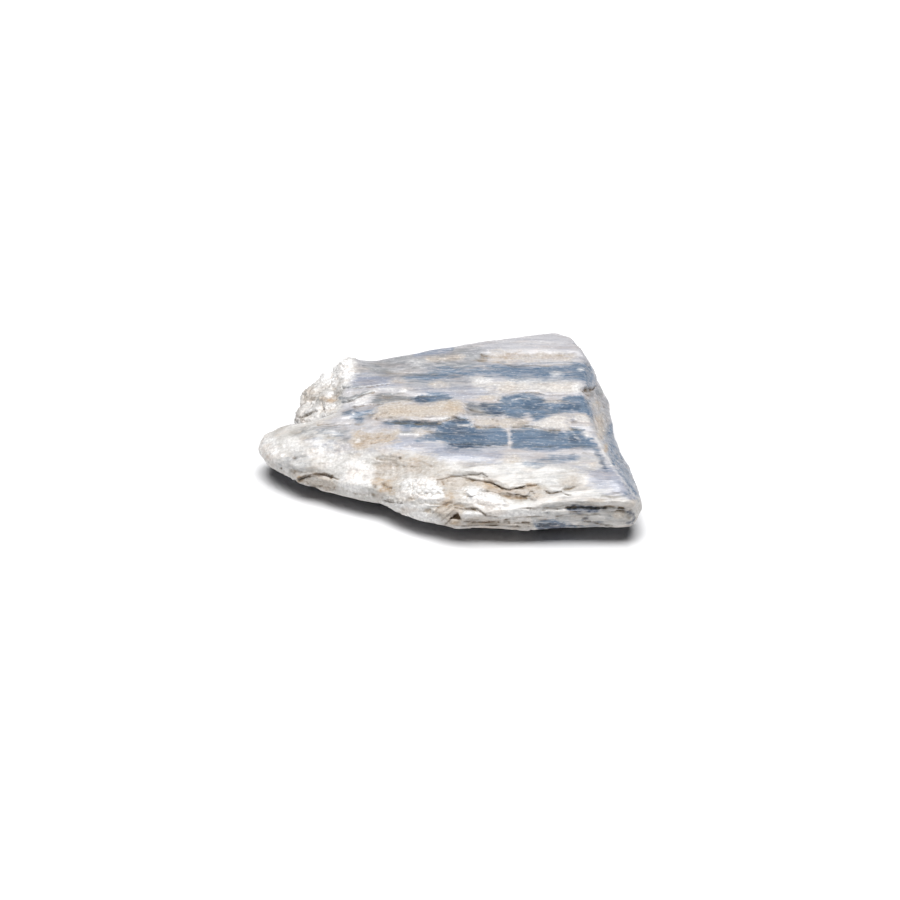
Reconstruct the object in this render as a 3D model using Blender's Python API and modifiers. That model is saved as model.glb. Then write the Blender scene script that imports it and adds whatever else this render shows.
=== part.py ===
"""A loose, broken slab of blue kyanite, lying on its flattest cleavage face.

The slab is one stone. Its blades run along X, its worn front edge faces -Y, and the origin
is on the surface that it rests on, under the middle of its footprint. Metres, +Z up.
"""

from collections import namedtuple

import bmesh
import bpy
import numpy as np
from mathutils import Matrix, Vector, noise

MM = 0.001

# Driving dimensions of the whole stone.
LENGTH = 54.8 * MM
DEPTH = 44.5 * MM
THICKNESS = 10.2 * MM

# How finely the stone is worked before its flat places are thinned out again, how far the
# corners of the blank are worn round first, and which edges stay sharp to the eye.
WORKING_GRAIN = 0.36 * MM
FINISHED_TRIANGLES = 9400
WEAR_SHARE = 0.5
WEAR_ROUNDS = 4
SHARP_ANGLE = 40.0

# The foot is the outline drawn in towards this point, by this share, and it is cut flat.
MIDDLE = (0.5, -0.5)
FOOT_SHARE = 0.62
FOOT_TRIM = 0.5

# The crown is the brow drawn in towards the middle, and lies at the height of the top plane.
CROWN_SHARE = 0.55
CROWN_HEIGHT = 9.6

# A station of the outline, in millimetres: where the widest line passes, the heights that its
# upright band runs between, and where the brow above it, the edge of the top plane, lies.
Station = namedtuple("Station", "x y low high brow_x brow_y brow_z")

OUTLINE = [
    # The rounded lobe at the left of the front.
    Station(-27.2, -3.4, 4.0, 5.6, -24.6, -3.4, 6.9),
    Station(-25.6, -6.9, 3.4, 5.6, -23.4, -5.0, 7.1),
    Station(-20.6, -10.8, 2.8, 5.2, -18.4, -6.6, 7.8),
    # The worn front slope, which swings forward to the belly.
    Station(-13.4, -14.2, 2.8, 5.0, -11.0, -9.2, 8.8),
    Station(-9.6, -15.7, 3.0, 5.0, -7.0, -10.6, 9.2),
    Station(-4.1, -19.7, 2.8, 4.8, -1.6, -12.4, 9.4),
    Station(1.5, -22.0, 2.7, 5.0, 3.6, -13.4, 9.4),
    Station(9.5, -22.2, 2.7, 5.8, 10.4, -14.8, 9.4),
    # The steeper front of the right half, and its corner.
    Station(18.0, -22.1, 2.7, 6.8, 18.0, -17.2, 9.2),
    Station(26.5, -21.8, 2.9, 6.9, 24.6, -19.6, 8.6),
    # The sloping break across the blades on the right.
    Station(27.7, -18.8, 3.4, 5.8, 24.6, -17.4, 8.9),
    Station(27.0, -12.0, 3.1, 4.8, 22.6, -12.2, 9.3),
    Station(25.4, -1.5, 2.8, 4.5, 21.3, -3.4, 9.4),
    Station(24.9, 8.6, 2.6, 5.0, 20.2, 4.4, 9.5),
    Station(24.0, 12.6, 2.6, 5.6, 21.3, 9.0, 9.6),
    Station(21.4, 18.6, 3.2, 8.0, 20.7, 17.6, 9.7),
    # The back edge.
    Station(19.8, 21.6, 3.6, 8.8, 19.3, 21.0, 9.8),
    Station(17.2, 22.4, 3.8, 8.9, 17.2, 21.9, 9.9),
    Station(6.4, 20.3, 3.8, 8.8, 6.6, 19.6, 9.8),
    Station(-2.3, 18.8, 3.4, 8.0, -2.2, 17.6, 9.2),
    Station(-10.5, 16.2, 3.2, 7.4, -10.0, 14.6, 9.0),
    Station(-14.6, 15.4, 3.4, 8.4, -14.4, 13.8, 9.8),
    # The rough break on the left, behind the lobe.
    Station(-18.4, 15.8, 3.0, 6.0, -15.2, 11.0, 9.5),
    Station(-21.6, 12.4, 2.8, 4.4, -14.8, 7.6, 9.3),
    Station(-22.2, 6.6, 2.8, 4.0, -14.4, 3.6, 9.0),
    Station(-21.6, 3.0, 3.0, 4.2, -15.4, 0.8, 8.0),
    # The back of the lobe.
    Station(-23.8, 0.6, 3.2, 5.2, -20.6, -1.6, 7.4),
    Station(-26.4, -0.9, 3.8, 5.4, -23.6, -2.4, 7.1),
]

# A sheet of the top, raised by its height, or sunk where that is negative. It lies between a
# front and a back line, each a list of x, y points, and its edges are this wide. The lines
# meet at the sheet's ends, or run out over the break on the right.
Sheet = namedtuple("Sheet", "name height edge front back")

SHEETS = [
    Sheet(
        "hollow_before_back_ledge", -0.5, 0.6,
        [(4.4, 14.2), (9.0, 12.2), (21.6, 12.2)],
        [(4.4, 14.2), (5.6, 16.2), (12.0, 16.4), (21.6, 17.0)],
    ),
    Sheet(
        "middle_sheet", -0.2, 0.9,
        [(2.6, -0.6), (6.0, -3.2), (21.6, -3.6)],
        [(2.6, -0.6), (7.0, 2.4), (21.6, 4.2)],
    ),
    Sheet(
        "sandy_sheet", 0.45, 0.6,
        [(-10.6, -0.8), (-9.4, -2.7), (-7.4, -3.8), (-4.0, -4.4), (0.2, -4.1), (2.4, -3.2), (3.8, -1.6)],
        [(-10.6, -0.8), (-9.0, 0.6), (-6.6, 1.4), (-2.0, 1.7), (1.6, 1.0), (3.8, -1.6)],
    ),
    Sheet(
        "pale_scab", 0.3, 0.6,
        [(11.4, -3.6), (13.5, -5.4), (17.5, -5.4), (19.8, -3.2)],
        [(11.4, -3.6), (14.0, -2.2), (17.4, -1.8), (19.8, -3.2)],
    ),
    Sheet(
        "main_sheet", -0.3, 0.8,
        [(-2.8, -6.4), (0.0, -9.6), (8.0, -11.4), (21.8, -11.2)],
        [(-2.8, -6.4), (0.4, -4.4), (9.0, -4.8), (21.8, -5.4)],
    ),
    Sheet(
        "left_streak", -0.3, 0.7,
        [(-12.4, 2.8), (-5.0, 1.6), (1.4, 3.0)],
        [(-12.4, 2.8), (-6.0, 4.6), (1.4, 3.0)],
    ),
    Sheet(
        "left_hollow", -0.35, 0.8,
        [(-15.6, -3.0), (-12.0, -5.0), (-8.4, -3.8)],
        [(-15.6, -3.0), (-11.5, -1.2), (-8.4, -3.8)],
    ),
    Sheet(
        "ochre_hollow", -0.3, 0.9,
        [(-14.4, -8.0), (-10.0, -9.8), (-5.4, -7.4)],
        [(-14.4, -8.0), (-10.0, -5.8), (-5.4, -7.4)],
    ),
    Sheet(
        "lobe_ridge", 0.4, 1.2,
        [(-24.0, -5.0), (-18.0, -7.0), (-12.6, -6.4)],
        [(-24.0, -5.0), (-18.0, -3.2), (-12.6, -6.4)],
    ),
]

# The sheets' edges wander by this much, in swings of this size, and sheets lie on the top only,
# where the surface leans by less than this.
SHEET_WANDER = 0.9
SHEET_SWING = (3.0, 1.6, 9.0)
SHEET_LEAN = 0.5

# A crack or a groove follows a line over the surface and is cut into it.
Crack = namedtuple("Crack", "name width depth path")

CRACKS = [
    Crack(
        "under_sandy_sheet", 0.6, 0.35,
        [(-9.4, -3.9, 9.6), (-6.4, -4.8, 9.6), (-0.6, -4.8, 9.6)],
    ),
    Crack(
        "front_upper", 0.55, 0.6,
        [(-1.0, -16.1, 7.1), (-0.4, -15.8, 7.4), (3.6, -16.1, 8.1), (6.0, -16.8, 8.0)],
    ),
    Crack(
        "front_middle", 0.55, 0.6,
        [(2.6, -16.3, 7.8), (7.1, -17.9, 7.6), (8.7, -18.8, 7.4), (11.2, -18.7, 7.6)],
    ),
    Crack(
        "front_lower", 0.6, 0.5,
        [(3.4, -19.6, 6.4), (5.7, -19.1, 6.8), (9.8, -19.9, 6.9), (11.9, -20.3, 7.0)],
    ),
    Crack(
        "front_right", 0.5, 0.4,
        [(14.3, -19.9, 7.5), (16.0, -20.0, 7.6), (18.1, -19.4, 8.1)],
    ),
    Crack(
        "under_rim", 0.9, 0.7,
        [(14.2, -22.2, 6.3), (18.7, -22.1, 6.4), (21.4, -22.0, 6.3), (24.8, -21.9, 5.8)],
    ),
    Crack(
        "lower_layer", 0.7, 0.4,
        [(8.6, -22.3, 4.6), (15.0, -22.3, 4.9), (21.5, -22.2, 4.9)],
    ),
    Crack(
        "belly_swirl", 0.8, 0.5,
        [(-2.6, -20.4, 4.4), (-0.6, -20.0, 5.3), (1.6, -20.4, 5.7), (4.4, -21.4, 5.4)],
    ),
    Crack(
        "lobe_seam", 0.8, 0.6,
        [(-22.4, -9.8, 4.4), (-19.9, -11.1, 4.9), (-18.0, -11.5, 5.4), (-15.1, -12.8, 5.4)],
    ),
    Crack(
        "lobe_root", 0.9, 0.7,
        [(-21.6, 3.2, 4.0), (-19.6, 2.0, 5.6), (-17.4, 1.2, 7.0)],
    ),
    Crack(
        "end_notch", 1.0, 0.8,
        [(20.6, 5.6, 9.4), (21.6, 6.0, 8.6)],
    ),
]

# A crack's width varies by this share, over this length.
CRACK_UNEVENNESS = 0.6
CRACK_SWING = 1.4

# A lump is pushed out of the surface inside an ellipsoid, and a negative one is a pit.
Lump = namedtuple("Lump", "name height centre radii")

LUMPS = [
    Lump("back_dome", 0.45, (-4.6, 12.6, 9.4), (8.0, 3.6, 3.0)),
    Lump("white_break_lump", 0.8, (-14.8, 13.0, 9.2), (2.4, 2.6, 2.6)),
    Lump("break_lump", 0.7, (-19.4, 10.6, 5.8), (2.4, 3.0, 2.0)),
    Lump("front_quartz", 0.5, (5.2, -18.4, 7.0), (3.0, 1.6, 1.6)),
    Lump("scaly_patch", 0.35, (-3.0, -17.0, 6.0), (4.0, 3.0, 2.6)),
    Lump("belly", 0.4, (1.0, -21.4, 4.4), (4.4, 2.4, 2.2)),
    Lump("belly_hole", -1.2, (1.5, -21.8, 4.7), (1.1, 1.3, 0.9)),
    Lump("corner_nub", 0.4, (24.6, -21.8, 4.6), (1.3, 1.6, 1.2)),
    Lump("front_hollow", -0.5, (-8.4, -13.6, 7.2), (4.0, 2.6, 2.4)),
    Lump("lobe_back", 0.4, (-22.6, -1.6, 6.8), (3.6, 2.2, 2.4)),
    Lump("back_bite", -0.6, (-6.0, 17.4, 7.6), (3.4, 2.0, 2.4)),
]

# The stone splits into layers that lie flat, and they stand out unevenly on its sides: how
# thick a layer is, how far it wanders up and down, the share of it that the step to the next
# one takes, how far it stands out, and how long it keeps to one reach.
LAYER = 1.15
LAYER_WANDER = 0.5
LAYER_SWING = (9.0, 9.0, 30.0)
LAYER_STEP = 0.24
LAYER_REACH = 0.42
LAYER_RUN = 6.25
LAYER_SPREAD = 3.7

# Fibres along the blades, as long and as wide as this, and this high.
FIBRE_LENGTH = 9.0
FIBRE_WIDTH = 1.3
FIBRE_HEIGHT = 0.16

# Slow swells of the underside, where it leans out less than this, between its foot and rim.
SWELL_SIZE = 5.5
SWELL_HEIGHT = 0.35
SWELL_LEAN = 0.5

# The break on the left is blocky: its grains are this large and stand out by this much. They
# grow from nothing to their full height over the fade.
BREAK_EDGE = -13.0
BREAK_FRONT = 1.0
BREAK_FADE = 4.0
BREAK_GRAIN = 1.7
BREAK_ROUGHNESS = 0.5

STONE_COLOUR = (0.34, 0.42, 0.52, 1.0)
STONE_ROUGHNESS = 0.55


def drawn_in(x, y, share):
    """The point x, y moved towards the middle of the outline."""
    return (
        MIDDLE[0] + (x - MIDDLE[0]) * share,
        MIDDLE[1] + (y - MIDDLE[1]) * share,
    )


def rings():
    """The closed rings of points that the stone is lofted through, from the foot to the crown."""
    foot = [(*drawn_in(s.x, s.y, FOOT_SHARE), -FOOT_TRIM) for s in OUTLINE]
    low = [(s.x, s.y, s.low) for s in OUTLINE]
    high = [(s.x, s.y, s.high) for s in OUTLINE]
    brow = [(s.brow_x, s.brow_y, s.brow_z) for s in OUTLINE]
    crown = [(*drawn_in(s.brow_x, s.brow_y, CROWN_SHARE), CROWN_HEIGHT) for s in OUTLINE]
    return [foot, low, high, brow, crown]


def lofted_blank():
    """A mesh lofted through the rings, closed by the foot and the crown."""
    bm = bmesh.new()
    loops = [[bm.verts.new(Vector(p) * MM) for p in ring] for ring in rings()]
    for below, above in zip(loops, loops[1:]):
        for i in range(len(below)):
            j = (i + 1) % len(below)
            bm.faces.new((below[i], below[j], above[j], above[i]))
    bm.faces.new(reversed(loops[0]))
    bm.faces.new(loops[-1])
    bmesh.ops.triangulate(bm, faces=bm.faces)
    mesh = bpy.data.meshes.new("kyanite_blank")
    bm.to_mesh(mesh)
    bm.free()
    return mesh


def applied(obj):
    """Replaces the object's mesh by what its modifiers make of it."""
    graph = bpy.context.evaluated_depsgraph_get()
    old = obj.data
    obj.data = bpy.data.meshes.new_from_object(obj.evaluated_get(graph))
    obj.modifiers.clear()
    bpy.data.meshes.remove(old)


def vectors(elements, name, count):
    """One three-number property of all the elements of a mesh, as an array."""
    values = np.empty(count * 3)
    elements.foreach_get(name, values)
    return values.reshape(-1, 3)


def ramp(values):
    """A smooth rise from 0 to 1 while the values go from 0 to 1."""
    t = np.clip(values, 0.0, 1.0)
    return t * t * (3.0 - 2.0 * t)


def noise_at(points, scale, shift=0.0):
    """Smooth noise at the points, between about -1 and 1, with one scale for each axis."""
    scaled = points / np.asarray(scale) + shift
    return np.array([noise.noise(Vector(p)) for p in scaled])


def distance_to_path(points, path):
    """How far each point is from the nearest stretch of a path."""
    nearest = np.full(len(points), np.inf)
    for start, end in zip(np.array(path[:-1]), np.array(path[1:])):
        along = end - start
        share = np.clip((points - start) @ along / (along @ along), 0.0, 1.0)
        gap = points - start - share[:, None] * along
        nearest = np.minimum(nearest, np.linalg.norm(gap, axis=1))
    return nearest


def sheet_lift(points, normals, sheet):
    """How far a sheet raises each point of the top."""
    front_x, front_y = np.array(sheet.front).T
    back_x, back_y = np.array(sheet.back).T
    wander = SHEET_WANDER * noise_at(points, SHEET_SWING, shift=len(sheet.name))
    x = points[:, 0] + wander
    y = points[:, 1] + wander
    front = y - np.interp(x, front_x, front_y)
    back = np.interp(x, back_x, back_y) - y
    inside = np.minimum(np.minimum(front, back), x - front_x[0])
    facing_up = ramp((normals[:, 2] - SHEET_LEAN) / 0.3)
    return sheet.height * ramp(inside / sheet.edge) * facing_up


def crack_depth(points, crack):
    """How deep a crack cuts into each point."""
    wander = 1.0 + CRACK_UNEVENNESS * noise_at(points, (CRACK_SWING,) * 3, shift=len(crack.name))
    share = distance_to_path(points, crack.path) / (crack.width * wander)
    return crack.depth * (1.0 - ramp(share))


def lump_height(points, lump):
    """How far a lump pushes each point out."""
    share = np.linalg.norm((points - np.array(lump.centre)) / np.array(lump.radii), axis=1)
    return lump.height * (1.0 - ramp(share))


def layer_offset(points):
    """How far each layer stands out of the sides, with a sharp step between two layers."""
    level = (points[:, 2] + LAYER_WANDER * noise_at(points, LAYER_SWING)) / LAYER
    index = np.floor(level)
    step = ramp((level - index) / LAYER_STEP)
    spot = points.copy()
    spot[:, 2] = index * LAYER_SPREAD
    here = noise_at(spot, (LAYER_RUN, LAYER_RUN, 1.0))
    spot[:, 2] -= LAYER_SPREAD
    below = noise_at(spot, (LAYER_RUN, LAYER_RUN, 1.0))
    return LAYER_REACH * (below + (here - below) * step)


def break_blocks(points):
    """How far the blocky grains of the left break stand out of it."""
    from_right = ramp((BREAK_EDGE - points[:, 0]) / BREAK_FADE)
    corner = from_right * ramp((points[:, 1] - BREAK_FRONT) / BREAK_FADE)
    cells = np.array([noise.cell(Vector(p)) for p in points / BREAK_GRAIN])
    soft = noise_at(points, (BREAK_GRAIN,) * 3)
    return BREAK_ROUGHNESS * corner * (0.5 * cells + soft)


def sculpt(mesh):
    """Works the smooth blank into the stone's layers, sheets, cracks, lumps and rough break."""
    count = len(mesh.vertices)
    points = vectors(mesh.vertices, "co", count) / MM
    normals = vectors(mesh.vertices, "normal", count)
    upright = 1.0 - np.abs(normals[:, 2:])
    push = sum(lump_height(points, lump) for lump in LUMPS)
    push = push - sum(crack_depth(points, crack) for crack in CRACKS)
    push = push + break_blocks(points)
    facing_down = ramp((-normals[:, 2] - SWELL_LEAN) / 0.4)
    push = push + SWELL_HEIGHT * facing_down * noise_at(points, (SWELL_SIZE,) * 3)
    push = push + FIBRE_HEIGHT * noise_at(points, (FIBRE_LENGTH, FIBRE_WIDTH, FIBRE_WIDTH))
    lift = sum(sheet_lift(points, normals, sheet) for sheet in SHEETS)
    sideways = normals * (1.0, 1.0, 0.0)
    moved = points + normals * push[:, None]
    moved = moved + sideways * np.sqrt(upright) * layer_offset(points)[:, None]
    moved[:, 2] += lift
    mesh.vertices.foreach_set("co", (moved * MM).ravel())
    mesh.update()


def thinned(obj):
    """Thins out the flat places until the stone has its finished number of triangles."""
    triangles = 2 * len(obj.data.polygons)
    thin = obj.modifiers.new("thin", "DECIMATE")
    thin.ratio = FINISHED_TRIANGLES / triangles
    applied(obj)


def cut_foot(mesh):
    """Cuts the foot off flat at height zero and closes the cut with one level face."""
    bm = bmesh.new()
    bm.from_mesh(mesh)
    everything = bm.verts[:] + bm.edges[:] + bm.faces[:]
    cut = bmesh.ops.bisect_plane(
        bm, geom=everything, plane_co=(0, 0, 0), plane_no=(0, 0, 1), clear_inner=True
    )
    rim = [e for e in cut["geom_cut"] if isinstance(e, bmesh.types.BMEdge)]
    bmesh.ops.holes_fill(bm, edges=rim)
    bmesh.ops.triangulate(bm, faces=bm.faces)
    bmesh.ops.recalc_face_normals(bm, faces=bm.faces)
    bm.to_mesh(mesh)
    bm.free()


def brought_to_size(mesh):
    """Brings the stone to its driving dimensions, with the origin under the middle of its box."""
    points = vectors(mesh.vertices, "co", len(mesh.vertices))
    low = points.min(axis=0)
    high = points.max(axis=0)
    middle = (low + high) / 2.0
    middle[2] = 0.0
    size = np.array([LENGTH, DEPTH, THICKNESS])
    scale = size / (high - np.array([low[0], low[1], 0.0]))
    mesh.transform(Matrix.Diagonal((*scale, 1.0)) @ Matrix.Translation(-middle))


def stone_material():
    """The stone's plain overall colour and finish."""
    material = bpy.data.materials.new("kyanite_stone")
    material.use_nodes = True
    shader = material.node_tree.nodes["Principled BSDF"]
    shader.inputs["Base Color"].default_value = STONE_COLOUR
    shader.inputs["Roughness"].default_value = STONE_ROUGHNESS
    shader.inputs["Metallic"].default_value = 0.0
    return material


def main():
    for obj in list(bpy.data.objects):
        bpy.data.objects.remove(obj)
    stone = bpy.data.objects.new("kyanite_stone", lofted_blank())
    collection = bpy.data.collections.new("kyanite")
    bpy.context.scene.collection.children.link(collection)
    collection.objects.link(stone)

    remesh = stone.modifiers.new("even_grain", "REMESH")
    remesh.mode = "VOXEL"
    remesh.voxel_size = WORKING_GRAIN
    soften = stone.modifiers.new("soften", "SMOOTH")
    soften.factor = WEAR_SHARE
    soften.iterations = WEAR_ROUNDS
    applied(stone)
    sculpt(stone.data)
    thinned(stone)
    cut_foot(stone.data)
    brought_to_size(stone.data)
    stone.data.shade_smooth()
    stone.data.set_sharp_from_angle(angle=np.radians(SHARP_ANGLE))
    stone.data.materials.append(stone_material())


main()
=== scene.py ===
"""Dresses a loose, broken slab of blue kyanite and sets it in a plain bright studio.

The slab lies on its flattest cleavage face, with its blades along X and its worn front edge
towards -Y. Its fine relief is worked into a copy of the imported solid, and its minerals are
painted where the photograph shows them. Sizes of the stone are in millimetres, and places that
were read from the photograph are pixels of its 900 by 900 frame.
"""

import logging
import math
from dataclasses import dataclass, field
from enum import Enum
from typing import ClassVar

import bpy
import numpy as np
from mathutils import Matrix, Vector, noise
from mathutils.bvhtree import BVHTree


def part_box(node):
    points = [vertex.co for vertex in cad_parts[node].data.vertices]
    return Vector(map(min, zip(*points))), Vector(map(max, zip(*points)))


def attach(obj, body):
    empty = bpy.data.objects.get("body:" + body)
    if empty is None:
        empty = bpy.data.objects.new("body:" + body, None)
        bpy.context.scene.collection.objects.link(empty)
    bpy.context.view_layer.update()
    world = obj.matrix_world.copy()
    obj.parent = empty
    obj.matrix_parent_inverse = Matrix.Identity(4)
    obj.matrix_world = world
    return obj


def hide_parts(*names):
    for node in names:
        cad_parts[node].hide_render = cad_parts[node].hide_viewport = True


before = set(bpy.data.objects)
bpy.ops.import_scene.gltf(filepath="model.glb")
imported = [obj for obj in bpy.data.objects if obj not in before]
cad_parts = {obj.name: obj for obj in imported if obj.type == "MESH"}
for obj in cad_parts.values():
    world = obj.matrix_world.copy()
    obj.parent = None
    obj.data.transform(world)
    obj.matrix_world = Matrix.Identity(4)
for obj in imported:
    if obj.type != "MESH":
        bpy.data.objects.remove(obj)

MM = 0.001
PHOTO_SIDE = 900
STONE_NODE = "kyanite_stone"
FAR_BELOW = (0.0, 0.0, -1000.0)
CELL_STRIDES = (37.0, 91.0)
HOLLOW = "hollow"
# Attribute of the painted shade on the hidden underside.
UNDER_SHADE = "under"

logging.basicConfig(level=logging.INFO, format="%(message)s")
log = logging.getLogger("kyanite")

Pixel = tuple[float, float]
Outline = tuple[Pixel, ...]
Size = tuple[float, float, float]
Waves = tuple[tuple[float, Size, float], ...]
Socket = bpy.types.NodeSocket


def ramp(values: np.ndarray, start: float = 0.0, full: float = 1.0) -> np.ndarray:
    """Rises smoothly from 0 to 1 while the values go from one level to another.

    Args:
        values: what rises.
        start: the level where the ramp leaves 0.
        full: the level where it reaches 1.

    Returns:
        One share for each value.
    """
    share = np.clip((values - start) / (full - start), 0.0, 1.0)
    return share * share * (3.0 - 2.0 * share)


def noise_at(points: np.ndarray, size: Size, shift: float = 0.0) -> np.ndarray:
    """Gives smooth noise between about -1 and 1.

    Args:
        points: places in millimetres.
        size: how long the noise's swings are along each axis.
        shift: moves the pattern, so that two of one size differ.

    Returns:
        One value for each place.
    """
    scaled = points / np.asarray(size) + shift
    return np.array([noise.noise(place) for place in scaled.tolist()])


def cells_at(points: np.ndarray, size: Size, shift: float = 0.0) -> tuple[np.ndarray, np.ndarray]:
    """Breaks space into rounded blocks, as grains and flakes do.

    Args:
        points: places in millimetres.
        size: how large a block is along each axis.
        shift: moves the pattern.

    Returns:
        How far each place is from the joint around its block, 0 at the joint, and a level from
        0 to 1 that all of a block shares.
    """
    scaled = points / np.asarray(size) + shift
    joint = np.empty(len(points))
    level = np.empty(len(points))
    for index, place in enumerate(scaled.tolist()):
        distances, centres = noise.voronoi(place)
        joint[index] = distances[1] - distances[0]
        turn = CELL_STRIDES[0] * centres[0].x + CELL_STRIDES[1] * centres[0].y
        level[index] = 0.5 + 0.5 * math.sin(turn)
    return joint, level


def stairs(points: np.ndarray, level: np.ndarray, axis: int, stride: float, edge: float, size: Size,
           shift: float = 0.0) -> np.ndarray:
    """Gives a noise that is drawn anew on each step of a level.

    Args:
        points: places in millimetres.
        level: a height for each place, whose whole numbers are the steps.
        axis: the axis across the steps.
        stride: how far apart in the noise two steps lie.
        edge: the share of a step over which the step before turns into it.
        size: how long the noise's swings are along each axis.
        shift: moves the pattern.

    Returns:
        One value for each place.
    """
    index = np.floor(level)
    spot = points.copy()
    spot[:, axis] = index * stride
    here = noise_at(spot, size, shift)
    spot[:, axis] -= stride
    before = noise_at(spot, size, shift)
    return before + (here - before) * ramp((level - index) / edge)


def mesh_array(elements: bpy.types.bpy_prop_collection, name: str, width: int = 3) -> np.ndarray:
    """Reads one property of all of a mesh's elements.

    Args:
        elements: the mesh's vertices, edges or triangles.
        name: the property's name.
        width: how many numbers the property has.

    Returns:
        One row for each element.
    """
    values = np.empty(len(elements) * width, dtype=int if name == "vertices" else float)
    elements.foreach_get(name, values)
    return values.reshape(-1, width)


def points_of(mesh: bpy.types.Mesh) -> np.ndarray:
    """Reads the places of a mesh's vertices, in millimetres."""
    return mesh_array(mesh.vertices, "co") / MM


def distance_to_path(pixels: np.ndarray, path: np.ndarray) -> np.ndarray:
    """Measures how far each pixel is from the nearest stretch of a path.

    Args:
        pixels: places in the photograph.
        path: the path's points.

    Returns:
        One distance for each place, in pixels.
    """
    nearest = np.full(len(pixels), np.inf)
    for start, end in zip(path[:-1], path[1:]):
        along = end - start
        share = np.clip((pixels - start) @ along / max(along @ along, 1e-9), 0.0, 1.0)
        gap = pixels - start - share[:, None] * along
        nearest = np.minimum(nearest, np.hypot(gap[:, 0], gap[:, 1]))
    return nearest


class Mineral(Enum):
    """What the stone is made of, by its look, with painted light and shade in some marks. Each one is
    painted as an attribute of the mesh.
    """

    CREAM = "cream"
    GREY = "grey"
    LAVENDER = "lavender"
    BLUE = "blue"
    NAVY = "navy"
    DEEP = "deep"
    SAND = "sand"
    WHITE = "white"
    RUST = "rust"
    DARK = "dark"


@dataclass(frozen=True)
class Field:
    """A stretch of one mineral inside an outline of pixels."""

    name: str
    outline: Outline
    strength: float = 1.0
    soft: float = 2.0
    ragged: float = 1.3

    def corners(self) -> np.ndarray:
        """Gives pixels that hold the field between them."""
        return np.array(self.outline)

    def inside(self, pixels: np.ndarray) -> np.ndarray:
        """Measures how deep each place lies inside the outline.

        Args:
            pixels: places in the photograph.

        Returns:
            One distance for each place, in pixels, negative outside the outline.
        """
        closed = np.array([*self.outline, self.outline[0]])
        distance = distance_to_path(pixels, closed)
        x, y = pixels.T
        within = np.zeros(len(pixels), bool)
        for (x0, y0), (x1, y1) in zip(closed[:-1], closed[1:]):
            if y0 != y1:
                passes = (y0 > y) != (y1 > y)
                within ^= passes & (x < (x1 - x0) * (y - y0) / (y1 - y0) + x0)
        return np.where(within, distance, -distance)


@dataclass(frozen=True)
class Spot:
    """A round or long spot of one mineral, which may lean."""

    name: str
    at: Pixel
    half: Pixel
    strength: float = 1.0
    soft: float = 1.2
    ragged: float = 0.35
    lean: float = 0.0

    def corners(self) -> np.ndarray:
        """Gives two pixels that hold the spot between them, however it leans."""
        return np.array(self.at) + max(self.half) * np.array([[-1.0, -1.0], [1.0, 1.0]])

    def inside(self, pixels: np.ndarray) -> np.ndarray:
        """Measures roughly how deep each place lies inside the spot.

        Args:
            pixels: places in the photograph.

        Returns:
            One distance for each place, in pixels, negative outside the spot.
        """
        x, y = (pixels - self.at).T
        cos, sin = math.cos(math.radians(self.lean)), math.sin(math.radians(self.lean))
        share = np.hypot((x * cos - y * sin) / self.half[0], (x * sin + y * cos) / self.half[1])
        return (1.0 - share) * min(self.half)


@dataclass(frozen=True)
class Streak:
    """A thin line of one mineral along a path of pixels."""

    name: str
    path: Outline
    half: float = 0.8
    strength: float = 1.0
    soft: float = 0.7
    ragged: float = 0.2

    def corners(self) -> np.ndarray:
        """Gives pixels that hold the streak between them."""
        return np.array(self.path)

    def inside(self, pixels: np.ndarray) -> np.ndarray:
        """Gives the distance in pixels from the line's edge, positive inside it."""
        return self.half - distance_to_path(pixels, np.array(self.path))


Mark = Field | Spot | Streak


@dataclass(frozen=True)
class Crack:
    """A crack whose upper lip may stand up over it, as the edge of a flake does.

    The path runs from left to right. Width and run are pixels, and depth and lip millimetres.
    """

    DEPTH_MEAN: ClassVar[float] = 0.8
    DEPTH_SWING: ClassVar[float] = 0.3
    DEPTH_LIMITS: ClassVar[tuple[float, float]] = (0.25, 1.3)
    WIDTH_SWING: ClassVar[float] = 0.4
    WIDTH_LIMITS: ClassVar[tuple[float, float]] = (0.5, 2.0)
    LIP_EDGE: ClassVar[float] = 0.8

    name: str
    path: Outline
    width: float = 1.4
    depth: float = 0.4
    lip: float = 0.0
    run: float = 8.0

    def push(self, pixels: np.ndarray, wander: np.ndarray) -> np.ndarray:
        """Gives how far the crack moves each point out along its normal.

        Args:
            pixels: where the points show in the photograph.
            wander: a noise that makes the crack uneven.

        Returns:
            One distance for each point, in millimetres, negative in the crack.
        """
        path = np.array(self.path)
        distance = distance_to_path(pixels, path)
        depth = self.depth * np.clip(self.DEPTH_MEAN + self.DEPTH_SWING * wander, *self.DEPTH_LIMITS)
        width = self.width * np.clip(1.0 + self.WIDTH_SWING * wander, *self.WIDTH_LIMITS)
        cut = -depth * (1.0 - ramp(distance / width))
        if self.lip == 0.0:
            return cut
        above = np.interp(pixels[:, 0], *path.T) - pixels[:, 1]
        lip = self.lip * (1.0 - ramp(distance / self.run)) * ramp(above / self.LIP_EDGE)
        return np.where(above > 0.0, lip, cut)


@dataclass(frozen=True)
class Plate:
    """A plate that stands above what is round it, or lies lower where its rise is negative.

    The rise is in millimetres, and the edge, over which the plate rises, in pixels.
    """

    name: str
    outline: Outline
    rise: float
    edge: float = 1.5
    ragged: float = 0.8

    def push(self, pixels: np.ndarray, wander: np.ndarray) -> np.ndarray:
        """Gives how far the plate moves each point out along its normal, in millimetres."""
        inside = Field(self.name, self.outline).inside(pixels) + self.ragged * wander
        return self.rise * ramp(inside / self.edge)


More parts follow.
